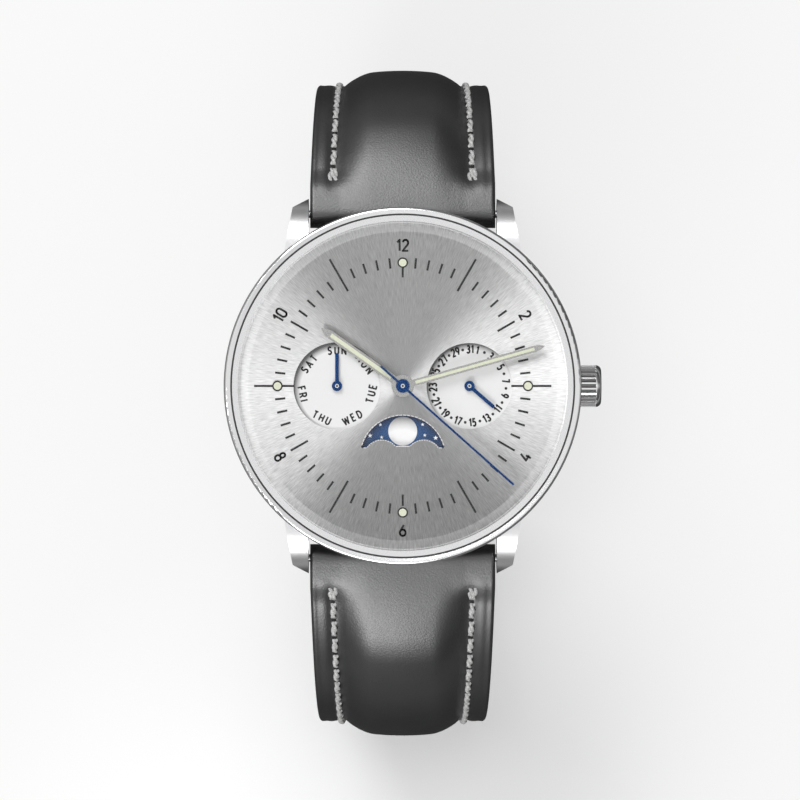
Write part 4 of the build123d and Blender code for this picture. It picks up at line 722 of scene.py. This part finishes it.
# Pen strokes of the generic figures and letters: points (x, y), or arcs
# (middle x, middle y, radius x, radius y, start angle, end angle)
glyphs = {
    "0": (0.5, (((0.25, 0.74, 0.25, 0.26, 0, 180), (0.25, 0.26, 0.25, 0.26, 180, 360), (0.5, 0.74)),)),
    "1": (0.26, (((0, 0.76), (0.22, 1), (0.22, 0)),)),
    "2": (0.5, (((0.25, 0.73, 0.24, 0.27, 170, -38), (0, 0), (0.5, 0)),)),
    "3": (0.48, (((0.22, 0.76, 0.21, 0.24, 150, -90), (0.22, 0.26, 0.26, 0.26, 90, -150)),)),
    "4": (0.54, (((0.3, 1), (0, 0.28), (0.54, 0.28)), ((0.4, 0.52), (0.4, 0)))),
    "5": (0.5, (((0.45, 1), (0.07, 1), (0.04, 0.55), (0.23, 0.31, 0.25, 0.31, 125, -145)),)),
    "6": (0.52, (((0.36, 1), (0.04, 0.44)), ((0.26, 0.29, 0.26, 0.29, 0, 360),))),
    "7": (0.5, (((0, 1), (0.5, 1), (0.16, 0)),)),
    "8": (0.5, (((0.25, 0.76, 0.2, 0.24, 0, 360),), ((0.25, 0.27, 0.25, 0.27, 0, 360),))),
    "9": (0.52, (((0.16, 0), (0.48, 0.56)), ((0.26, 0.71, 0.26, 0.29, 0, 360),))),
    "A": (0.6, (((0, 0), (0.3, 1), (0.6, 0)), ((0.1, 0.32), (0.5, 0.32)))),
    "D": (0.54, (((0, 0), (0, 1), (0.18, 1), (0.18, 0.5, 0.36, 0.5, 90, -90), (0, 0)),)),
    "E": (0.44, (((0.44, 1), (0, 1), (0, 0), (0.44, 0)), ((0, 0.52), (0.38, 0.52)))),
    "F": (0.44, (((0.44, 1), (0, 1), (0, 0)), ((0, 0.52), (0.38, 0.52)))),
    "H": (0.52, (((0, 0), (0, 1)), ((0.52, 0), (0.52, 1)), ((0, 0.52), (0.52, 0.52)))),
    "I": (0.02, (((0.01, 0), (0.01, 1)),)),
    "M": (0.68, (((0, 0), (0, 1), (0.34, 0.35), (0.68, 1), (0.68, 0)),)),
    "N": (0.54, (((0, 0), (0, 1), (0.54, 0), (0.54, 1)),)),
    "O": (0.64, (((0.32, 0.5, 0.32, 0.5, 0, 360),),)),
    "R": (
        0.5,
        (((0, 0), (0, 1), (0.24, 1), (0.24, 0.74, 0.23, 0.26, 90, -90), (0, 0.48)), ((0.26, 0.48), (0.5, 0))),
    ),
    "S": (0.48, (((0.24, 0.75, 0.22, 0.25, 35, 270), (0.24, 0.25, 0.24, 0.25, 90, -145)),)),
    "T": (0.54, (((0, 1), (0.54, 1)), ((0.27, 1), (0.27, 0)))),
    "U": (0.52, (((0, 1), (0.26, 0.26, 0.26, 0.26, 180, 360), (0.52, 1)),)),
    "W": (0.84, (((0, 1), (0.2, 0), (0.42, 0.85), (0.64, 0), (0.84, 1)),)),
}
arc_step = 24
joint_steps = 12


def stroke_points(stroke):
    """Points along a pen stroke, its arcs divided into short runs."""
    points = []
    for item in stroke:
        if len(item) == 2:
            points.append(item)
            continue
        x, y, radius_x, radius_y, start, end = item
        steps = max(2, round(abs(end - start) / arc_step))
        for step in range(steps + 1):
            angle = radians(start + (end - start) * step / steps)
            points.append((x + radius_x * cos(angle), y + radius_y * sin(angle)))
    return points


def word_strokes(word, height, pen, space, narrow=1.0):
    """Pen strokes of a word, centred on the origin, in millimetres."""
    gap = (pen + space) / (height * narrow)
    length = sum(glyphs[letter][0] for letter in word) + gap * (len(word) - 1)
    strokes = []
    start = -length / 2
    for letter in word:
        width, lines = glyphs[letter]
        for line in lines:
            points = [((start + x) * height * narrow, (y - 0.5) * height, 0) for x, y in stroke_points(line)]
            strokes.append([Vector(point) for point in points])
        start += width + gap
    return strokes


def inked(name, strokes, pen, height, finish=None, rise=ink_height, cyclic=False):
    """Flat lines as wide as the pen, with round joints, printed or laid at a height."""
    mesh = bmesh.new()
    for stroke in strokes:
        points = stroke + stroke[:1] if cyclic else stroke
        for start, end in zip(points, points[1:]):
            run = end - start
            place = (*((start + end) / 2).xy, height)
            turn = Matrix.Rotation(atan2(run.y, run.x), 4, "Z")
            add_block(mesh, place, (run.length, pen, 2 * rise), turn)
        for point in points[1:-1]:
            add_disc(mesh, (*point.xy, height), pen / 2, 2 * rise, joint_steps)
    return new_piece(name, mesh, finish or ink)


def turned(strokes, middle, angle, low_span=(360, 360)):
    """Strokes turned clockwise by an angle in degrees, or half a turn less in the low span, and moved."""
    if low_span[0] <= angle <= low_span[1]:
        angle -= 180
    place = Matrix.Translation(middle) @ Matrix.Rotation(-radians(angle), 4, "Z")
    return [[place @ point for point in stroke] for stroke in strokes]


def make_dial_marks():
    """Minute lines, hour lines and the rings round the luminous dots."""
    lines = []
    for minute in range(minutes):
        if minute % 5:
            lines.append([polar(radius, minute * 360 / minutes) for radius in minute_mark])
    inked("minute_marks", lines, mark_width, face_z)
    lines = []
    for hour in range(hours):
        ends = long_mark if hour % 2 else short_mark
        if hour % 3 == 0:
            ends = cardinal_mark if hour % 6 else upright_mark
        lines.append([polar(radius, hour * 360 / hours) for radius in ends])
    inked("hour_marks", lines, mark_width, face_z)
    mesh = bmesh.new()
    for turn, radius in enumerate(dot_places):
        middle = polar(radius, 90 * turn)
        heights = (face_z - ink_height, face_z + dot_ring_rise)
        spun_ring(mesh, (dot_ring_r - dot_ring_wall, dot_ring_r), heights, middle.xy, round_steps)
    new_piece("dot_rings", closed(mesh), ink)


def make_edge_line():
    """A thin dark ring at the foot of the wall round the dial, painted shadow where the dial meets the wall.
    """
    mesh = bmesh.new()
    heights = (face_z - ink_height, face_z + ink_height)
    spun_ring(mesh, (edge_shadow_r - edge_shadow_width, edge_shadow_r), heights, (0, 0), edge_shadow_steps)
    new_piece("dial_edge_shadow", closed(mesh), ink)


def make_numerals():
    strokes = []
    for word, angle, radius, lean in hour_numerals:
        letters = word_strokes(word, numeral_height, numeral_pen, numeral_space)
        strokes += turned(letters, polar(radius, angle), lean)
    inked("hour_numerals", strokes, numeral_pen, face_z)


def make_weekdays():
    strokes = []
    for day, word in enumerate(weekdays):
        angle = day * 360 / len(weekdays)
        middle = polar(weekday_r, angle) + Vector((day_x, 0, 0))
        letters = word_strokes(word, weekday_height, weekday_pen, weekday_space, weekday_narrow)
        strokes += turned(letters, middle, angle, weekday_low_span)
    inked("weekday_lettering", strokes, weekday_pen, sunk_z)


def make_dates():
    strokes = []
    mesh = bmesh.new()
    for day in range(1, month_days + 1):
        angle = day * 360 / month_days + date_turn
        middle = polar(date_r, angle) + Vector((date_x, 0, 0))
        if day % 2:
            digits = word_strokes(str(day), date_height, date_pen, date_space, date_narrow)
            strokes += turned(digits, middle, angle, date_low_span)
        else:
            add_disc(mesh, (*middle.xy, sunk_z), date_dot_r, 2 * ink_height, date_dot_steps)
    inked("date_numerals", strokes, date_pen, sunk_z)
    new_piece("date_dots", mesh, ink)


def make_moons():
    """Two silver moons and the stars between them, printed on the moon disc."""
    disc_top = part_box("moon_disc")[1].z / mm
    mesh = bmesh.new()
    for side in (1, -1):
        place = (0, moon_axis_y + side * moon_orbit_r, disc_top)
        add_disc(mesh, place, moon_r, 2 * disc_print, moon_steps, top_r=moon_r - disc_print)
    new_piece("printed_moons", mesh, moon_silver, "moon")
    mesh = bmesh.new()
    axis = Vector((0, moon_axis_y, 0))
    for x, y in star_places:
        radius = outer_star_r if abs(x) > outer_star_x else star_r
        for side in (1, -1):
            middle = axis + side * (Vector((x, y, 0)) - axis)
            star = bmesh.ops.create_circle(mesh, cap_ends=True, segments=2 * star_points, radius=radius)
            for index, vert in enumerate(star["verts"]):
                if index % 2:
                    vert.co *= star_waist_share
                vert.co += middle + Vector((0, 0, disc_top + disc_print))
    new_piece("printed_stars", mesh, star_white, "moon")


def window_loop():
    """The upper edge of the moon window, walked round as a list of points in millimetres."""
    mesh = bmesh.new()
    mesh.from_mesh(frame["nodes"]["dial"].data)
    bmesh.ops.remove_doubles(mesh, verts=mesh.verts, dist=dial_weld)
    joints = {}
    for edge in mesh.edges:
        middle = (edge.verts[0].co + edge.verts[1].co) / 2 / mm
        if abs(middle.z - face_z) > window_slack or len(edge.link_faces) != 2:
            continue
        if abs(middle.x) > window_half or not window_low < middle.y < window_high:
            continue
        reach = min((middle.xy - Vector((x, 0))).length for x in (day_x, date_x))
        if reach < day_rim_r + window_clearance:
            continue
        steep = [abs(face.normal.z) < upright_normal for face in edge.link_faces]
        if steep[0] != steep[1]:
            first, second = edge.verts
            joints.setdefault(first.index, []).append(second)
            joints.setdefault(second.index, []).append(first)
    start = next(iter(joints))
    mesh.verts.ensure_lookup_table()
    walk, here = [mesh.verts[start]], joints[start][0]
    while here.index != start and len(walk) <= len(joints):
        walk.append(here)
        before = walk[-2].index
        here = next(vert for vert in joints[here.index] if vert.index != before)
    points = [Vector((vert.co.x / mm, vert.co.y / mm, 0)) for vert in walk]
    mesh.free()
    return points


def make_trims():
    """The polished edge of the moon window and the caps of the small hubs."""
    inked("window_trim", [window_loop()], trim_pen, face_z, trim_steel, trim_rise, True)
    hubs = (("seconds", "seconds_hand", 0), ("weekday", "day_hand", day_x), ("date", "date_hand", date_x))
    for body, node, x in hubs:
        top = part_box(node)[1].z / mm
        mesh = bmesh.new()
        spun_ring(mesh, (cap_hole_r, cap_r), (top, top + cap_rise), (x, 0), round_steps)
        new_piece(node + "_cap", closed(mesh), trim_steel, body)
        mesh = bmesh.new()
        add_disc(mesh, (x, 0, top), cap_hole_r, cap_rise, pivot_steps)
        new_piece(node + "_pivot", mesh, ink, body)


# Strap


def arc_end(side, y, z, turn, end, radius):
    """Where an arc along a strap half ends, with its turn there."""
    y += side * radius * (sin(end) - sin(turn))
    z += radius * (cos(end) - cos(turn))
    return y, z, end


def run_arcs(side, arcs):
    """Arcs along a strap half, each (start length, y, z, turn, radius), and its end."""
    y, z, length, turn = side * strap_bar_y, strap_bar_z, 0, radians(strap_start_turn)
    pieces = []
    for end_turn, radius in arcs:
        end = radians(end_turn)
        pieces.append((length, y, z, turn, radius))
        length += radius * (end - turn)
        y, z, turn = arc_end(side, y, z, turn, end, radius)
    return pieces, (length, y, z, turn)


# The last bend of the upper half brings it to the floor of the loop
tail_z = strap_floor_z - flange / 2 - tail_gap - tail_thick / 2
upper_bends = ((90, upper_shoulder_r), (90 + upper_side_turn, upper_side_r))
side_end = run_arcs(1, upper_bends)[1]
upper_end_r = (side_end[2] - strap_floor_z) / (1 + cos(side_end[3]))
upper_arcs, upper_flat = run_arcs(1, (*upper_bends, (180, upper_end_r)))
shoulder_end = run_arcs(-1, ((90, lower_shoulder_r),))[1]
lower_arcs, lower_flat = run_arcs(-1, ((90, lower_shoulder_r), (180, shoulder_end[2] - tail_z)))
upper_total = upper_flat[0] + upper_flat[1] - buckle_bar_y
lower_flat_end = lower_flat[0] + upper_flat[1] - lower_flat[1]
tail_bend_r = upper_end_r + strap_floor_z - tail_z
lower_total = lower_flat_end + radians(tail_bend_turn) * tail_bend_r


def path_at(side, length):
    """Point and turn of the strap's middle at a length from the spring bar."""
    arcs, flat = (upper_arcs, upper_flat) if side > 0 else (lower_arcs, lower_flat)
    for start, y, z, turn, radius in reversed(arcs):
        if length >= start or start == 0:
            break
    if length < flat[0]:
        return arc_end(side, y, z, turn, turn + (length - start) / radius, radius)
    if side > 0 or length < lower_flat_end:
        return flat[1] - side * (length - flat[0]), flat[2], half_turn
    bend = (length - lower_flat_end) / tail_bend_r
    y = upper_flat[1] + tail_bend_r * sin(bend)
    return y, tail_z + tail_bend_r * (1 - cos(bend)), half_turn + bend


def strap_half(side, length):
    """Half of the strap's width at a length."""
    taper = min(max((length - taper_start) / (taper_end - taper_start), 0), 1)
    width = strap_lug_width + (strap_end_width - strap_lug_width) * taper
    into_tip = (length - lower_total + tip_length) / tip_length
    if side < 0 and into_tip > 0:
        width = tip_width + (width - tip_width) * sqrt(max(1 - into_tip**2, 0))
    return width / 2


def strap_thick(side, length):
    if side > 0:
        return flange
    return flange + (tail_thick - flange) * smooth(length, tail_thin_start, taper_end)


def pad_height(length):
    rise = smooth(length, pad_rise_start, pad_rise_end)
    fall = 1 - smooth(length, pad_fall_start, pad_fall_end)
    return pad_least + (pad_rise - pad_least) * rise * fall


def strap_point(side, length, x, out):
    """A point of the strap: x across it and out from its middle, away from the wrist."""
    y, z, turn = path_at(side, length)
    return Vector((x, y + side * sin(turn) * out, z + cos(turn) * out))


def top_out(side, length, x):
    """Height of the outer leather above the strap's middle."""
    half = strap_half(side, length)
    scale = half / (strap_lug_width / 2)
    foot = half - pad_foot * scale
    from_edge = half - abs(x)
    out = strap_thick(side, length) / 2
    if from_edge < edge_round:
        out -= edge_round - sqrt(max(edge_round**2 - (edge_round - from_edge) ** 2, 0))
    if abs(x) < foot:
        slope = sin(quarter_turn * min((foot - abs(x)) / (pad_slope * scale), 1))
        crown = 1 - (x / foot) ** 2
        out += pad_height(length) * ((1 - pad_crown_share) * slope + pad_crown_share * crown)
    if length > 0:
        groove = (from_edge - seam_inset) / seam_dip_width
        bead = (from_edge - edge_bead_inset) / edge_bead_width
        depth = seam_dip * exp(-groove * groove) + edge_bead * exp(-bead * bead)
        out -= depth * smooth(length, seam_fade / 2, 2 * seam_fade)
    return out


def fold_out(side, length, total, x):
    """Half thickness of the leather near a folded end, which fades later under the padding."""
    padded = smooth(strap_half(side, length) - abs(x), *pad_foot_fade)
    ends = [(length, roll_r)]
    if side > 0:
        ends.append((total - length, buckle_roll_r))
    for reach, radius in ends:
        if reach < 0:
            return sqrt(max(radius**2 - reach**2, 0))
        if reach < pad_fold_fade[1]:
            fade = smooth(reach, *fold_fade)
            fade += (smooth(reach, *pad_fold_fade) - fade) * padded
            return radius + (flange / 2 - radius) * fade
    return flange / 2


def sections(start, total, rolled_end):
    """Lengths at which the strap's section is drawn, close together round its folds."""
    lengths = []
    if start < 0:
        turns = [quarter_turn * step / end_steps for step in range(end_steps)]
        lengths = [start * cos(turn) * end_reach_share for turn in turns]
        start = 0.0
    flat_steps = round(total - start)
    lengths += [start + (total - start) * step / flat_steps for step in range(flat_steps + 1)]
    for step in range(1, fold_steps):
        reach = pad_rise_end * step / fold_steps
        lengths.append(start + reach)
        if rolled_end:
            lengths.append(total - reach)
    if rolled_end:
        turns = [quarter_turn * step / end_steps for step in range(1, end_steps + 1)]
        lengths += [total + buckle_roll_r * sin(turn) * end_reach_share for turn in turns]
    kept = []
    for length in sorted(lengths):
        if not kept or length - kept[-1] > least_section_gap:
            kept.append(length)
    return kept


def make_strap_layer(side, lengths, outline):
    """Skins closed outlines, each a list of (x, out) points, along the strap."""
    mesh = bmesh.new()
    loops = [outline(length) for length in lengths]
    around_steps = len(loops[0])

    def place(around, along):
        row = round(along * (len(lengths) - 1))
        x, out = loops[row][round(around * around_steps) % around_steps]
        return strap_point(side, lengths[row], x, out)

    skin(mesh, around_steps, len(lengths) - 1, place)
    return closed(mesh)


def bored(name, made, mesh):
    """Cuts a mesh of bores out of a piece and keeps the result as its mesh."""
    cutter = new_object(name, mesh)
    cut = made.modifiers.new("bores", "BOOLEAN")
    cut.operation = "DIFFERENCE"
    cut.solver = "EXACT"
    cut.object = cutter
    whole = made.evaluated_get(bpy.context.evaluated_depsgraph_get())
    result = bpy.data.meshes.new_from_object(whole)
    made.modifiers.clear()
    spent = (made.data, cutter.data)
    made.data = result
    bpy.data.objects.remove(cutter)
    for data in spent:
        bpy.data.meshes.remove(data)


def across_bore(mesh, radius, y, z):
    """A cylinder across the whole strap."""
    turn = Matrix.Rotation(quarter_turn, 4, "Y")
    add_disc(mesh, (0, y, z), radius, 2 * strap_lug_width, round_steps, turn)


def hole_bores():
    """The buckle holes of the lower half: three round ones and a slot."""
    mesh = bmesh.new()
    for count in range(1, hole_count):
        place = (0, hole_slot_start + hole_step * count, strap_floor_z)
        add_disc(mesh, place, hole_r, hole_depth, round_steps)
    middle = hole_slot_start - hole_slot_length / 2
    for vert in add_disc(mesh, (0, middle, strap_floor_z), hole_r, hole_depth, round_steps):
        vert.co.y += copysign(hole_slot_length / 2 - hole_r, vert.co.y - middle)
    return mesh


def make_strap_leather(name, side, total, node):
    """Outer leather of one strap half: folded ends, padding, stitched channel and edges."""

    def outline(length):
        half = strap_half(side, length)
        low = lining_thick - strap_thick(side, length) / 2
        if length < lining_start or (side > 0 and length > total - lining_start):
            low = -fold_out(side, length, total, half)
        points = []
        for step in range(leather_top_steps + 1):
            x = half * cos(half_turn * step / leather_top_steps)
            lift = fold_out(side, length, total, x) - flange / 2
            points.append((x, max(top_out(side, length, x) + lift, low + least_leather)))
        for step in range(leather_low_steps + 1):
            points.append((-half + 2 * half * step / leather_low_steps, low))
        return points

    mesh = make_strap_layer(side, sections(-roll_r, total, side > 0), outline)
    made = new_piece(name, mesh, finishes["black_leather"], "root")
    bores = bmesh.new()
    across_bore(bores, bar_bore_r, side * strap_bar_y, strap_bar_z)
    if side > 0:
        across_bore(bores, bar_bore_r, buckle_bar_y, strap_floor_z)
        slot = (2 * tongue_slot_half, 2 * buckle_roll_r + tongue_slot_room, tongue_slot_depth)
        add_block(bores, (0, buckle_bar_y, strap_floor_z), slot)
    bored(name + "_bores", made, bores)
    if side < 0:
        bored(name + "_holes", made, hole_bores())
    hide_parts(node)


def make_strap_lining(name, side, total, node):
    """Thin lining glued under one strap half."""

    def outline(length):
        half = strap_half(side, length) - lining_inset
        low = -strap_thick(side, length) / 2
        high = low + lining_thick
        return [(half, low), (half, high), (0, high), (-half, high), (-half, low), (0, low)]

    end = total - lining_start if side > 0 else total
    mesh = make_strap_layer(side, sections(lining_start, end, False), outline)
    made = new_piece(name, mesh, finishes["strap_lining"], "root")
    if side < 0:
        bored(name + "_holes", made, hole_bores())
    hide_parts(node)


def make_stitch():
    """One stitch of two twisted strands, lying along Y about the origin."""
    mesh = bmesh.new()
    for strand in (0, 1):

        def place(around, along, strand=strand):
            y = (along - 0.5) * stitch_length
            sink = stitch_arch * (2 * along - 1) ** 4
            twist = full_turn * (strand_turns * along + strand / 2)
            angle = full_turn * around
            x = strand_orbit * cos(twist) + strand_r * cos(angle)
            z = strand_orbit * sin(twist) + strand_r * sin(angle) - sink
            return Vector((x + stitch_lean * (2 * along - 1), y, z))

        skin(mesh, *stitch_steps, place)
    closed(mesh)
    data = bpy.data.meshes.new("stitch")
    mesh.to_mesh(data)
    mesh.free()
    return data


def seam_frame(side, hand, length):
    """A frame on one seam of the strap: X across it, Y along it, Z out of the leather."""
    ahead = length + stitch_pitch / 2
    x = hand * (strap_half(side, length) - seam_inset)
    ahead_x = hand * (strap_half(side, ahead) - seam_inset)
    here = strap_point(side, length, x, top_out(side, length, x))
    there = strap_point(side, ahead, ahead_x, top_out(side, ahead, ahead_x))
    along = (there - here).normalized()
    turn = path_at(side, length)[2]
    over = along.cross(Vector((0, side * sin(turn), cos(turn)))).normalized()
    place = Matrix((over, along, over.cross(along))).transposed().to_4x4()
    place.translation = here
    return place


def lay(mesh, data, place):
    """Adds a copy of a mesh at a place."""
    start = len(mesh.verts)
    mesh.from_mesh(data)
    mesh.verts.ensure_lookup_table()
    bmesh.ops.transform(mesh, matrix=place, verts=mesh.verts[start:])


def make_stitch_rows(name, side, start, end):
    """Both rows of stitches along one strap half, doubled at their first stitch."""
    stitch = make_stitch()
    thread = bmesh.new()
    holes = bmesh.new()
    lift = Matrix.Translation((0, 0, strand_r))
    flat = Matrix.Diagonal((1, stitch_hole_share, stitch_hole_rise / stitch_hole_r * 2, 1))
    steps = {"u_segments": stitch_hole_steps[0], "v_segments": stitch_hole_steps[1]}
    count = int((end - start) / stitch_pitch)
    for hand in (-1, 1):
        for index in range(count):
            place = seam_frame(side, hand, start + (index + 0.5) * stitch_pitch)
            if index:
                lay(thread, stitch, place @ lift)
            else:
                for strand in (-1, 1):
                    lean = Matrix.Rotation(radians(end_stitch_turn) * strand, 4, "Z")
                    aside = Matrix.Translation((end_stitch_spread * strand, 0, strand_r))
                    lay(thread, stitch, place @ aside @ lean)
            # Flat dark matte spots at the stitch holes, painted shade for their hollows
            place = seam_frame(side, hand, start + (index + 1) * stitch_pitch) @ flat
            bmesh.ops.create_uvsphere(holes, radius=stitch_hole_r, matrix=place, **steps)
    new_piece(name, thread, thread_grey)
    new_piece(name + "_holes", holes, painted_hole_shade)
    bpy.data.meshes.remove(stitch)


def rounded(share, steps, half_width, half_height, corner):
    """A point of a rectangle with round corners and the way out from it, half a step round."""
    angle = full_turn * (share + 0.5 / steps)
    out = Vector((cos(angle), sin(angle)))
    x = copysign(half_width - corner, out.x)
    y = copysign(half_height - corner, out.y)
    return Vector((x, y)) + out * corner, out


def make_keeper(node, body):
    """A folded leather loop with soft edges, in the place of a plain one."""
    low, high = (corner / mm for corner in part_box(node))
    middle = (low + high) / 2
    reach = (high - low) / 2

    def place(around, along):
        section = rounded(around, keeper_around_steps, reach.y, keeper_wall / 2, keeper_edge)[0]
        half_x, half_z = reach.x - keeper_wall / 2, reach.z - keeper_wall / 2
        base, out = rounded(along, keeper_along_steps, half_x, half_z, keeper_corner)
        spot = base + out * section.y
        return Vector((middle.x + spot.x, middle.y + section.x, middle.z + spot.y))

    mesh = bmesh.new()
    skin(mesh, keeper_around_steps, keeper_along_steps, place)
    made = new_piece(node + "_loop", closed(mesh), finishes["black_leather"], body)
    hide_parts(node)


def make_strap():
    for half, side, total in (("upper_strap", 1, upper_total), ("lower_strap", -1, lower_total)):
        make_strap_leather(half + "_cover", side, total, half + "_leather")
        make_strap_lining(half + "_backing", side, total, half + "_lining")
    make_stitch_rows("upper_strap_stitches", 1, upper_stitch_start, upper_total - upper_stitch_rest)
    make_stitch_rows("lower_strap_stitches", -1, lower_stitch_start, lower_total - lower_stitch_rest)
    make_keeper("fixed_keeper", "root")
    make_keeper("free_keeper", "keeper")


# Studio


def make_floor():
    """A pale floor just under the buckle, seen as the plain background."""
    mesh = bmesh.new()
    level = floor_z - floor_drop
    bmesh.ops.create_grid(mesh, x_segments=1, y_segments=1, size=floor_half)
    bmesh.ops.translate(mesh, vec=(0, 0, level), verts=mesh.verts)
    made, tree, shader = material("pale_floor", (floor_white,) * 3, 0.9, Specular_IOR_Level=0.0)
    place = own_place(tree)
    near_by = distance(tree, place, (0, floor_near_y * mm, level * mm))
    near = fade(tree, near_by, *floor_near_span)
    away = distance(tree, place, (0, 0, level * mm))
    mirrored = remap(tree, away, floor_mirrored_span, floor_mirrored_levels, mm)
    path = add_node(tree, "LightPath").outputs
    paint = blend(tree, near, floor_white, floor_near_white)
    share = blend(tree, near, floor_high_share, floor_low_share)
    seen = reckon(tree, "MAXIMUM", path["Is Camera Ray"], path["Is Transmission Ray"])
    set_inputs(
        shader,
        Base_Color=blend(tree, path["Is Glossy Ray"], paint, mirrored),
        Emission_Color=(1, 1, 1, 1),
        Emission_Strength=reckon(tree, "MULTIPLY", seen, share),
    )
    new_object("floor", mesh, made)


def make_lights():
    """Two boxes over the strap's shoulders, a soft overhead one, and a sky with a dark rim."""
    for name, place, size, power, mirrored in softboxes:
        lamp = bpy.data.lights.new(name, "AREA")
        lamp.shape = "RECTANGLE"
        lamp.size, lamp.size_y = size
        lamp.energy = power
        made = linked(name, lamp)
        made.location = place
        made.rotation_euler = (-Vector(place)).to_track_quat("-Z", "Y").to_euler()
        made.visible_glossy = mirrored
    world = bpy.data.worlds.new("studio")
    world.use_nodes = True
    tree = world.node_tree
    parts = split(tree, add_node(tree, "TexCoord").outputs["Generated"])
    sky = ramped(tree, parts["Z"], [(height, (level,) * 3) for height, level in sky_levels])
    aside = reckon(tree, "ABSOLUTE", parts["Y"])
    corner = reckon(tree, "MULTIPLY", parts["X"], aside)
    flagged = scaled(tree, sky, remap(tree, corner, flag_span, flag_levels))
    seen = add_node(tree, "Mix", add_node(tree, "LightPath").outputs["Is Camera Ray"], data_type="RGBA")
    # A colour mix keeps its two colours at inputs 6 and 7 and its result at output 2
    put(seen.inputs[6], flagged)
    put(seen.inputs[7], (*(background_grey,) * 3, 1))
    set_inputs(tree.nodes["Background"], Color=seen.outputs[2])
    bpy.context.scene.world = world


def make_camera():
    camera = bpy.data.cameras.new("camera")
    camera.sensor_width = sensor
    camera.lens = sensor * camera_height / frame_width
    made = linked("camera", camera)
    made.location = (frame_middle[0] * mm, frame_middle[1] * mm, (camera_height + face_z) * mm)
    bpy.context.scene.camera = made


make_camera()
make_floor()
make_lights()
dress_nodes()
make_dial_marks()
make_edge_line()
make_numerals()
make_weekdays()
make_dates()
make_moons()
make_trims()
make_strap()

bpy.context.scene.view_settings.view_transform = "Standard"
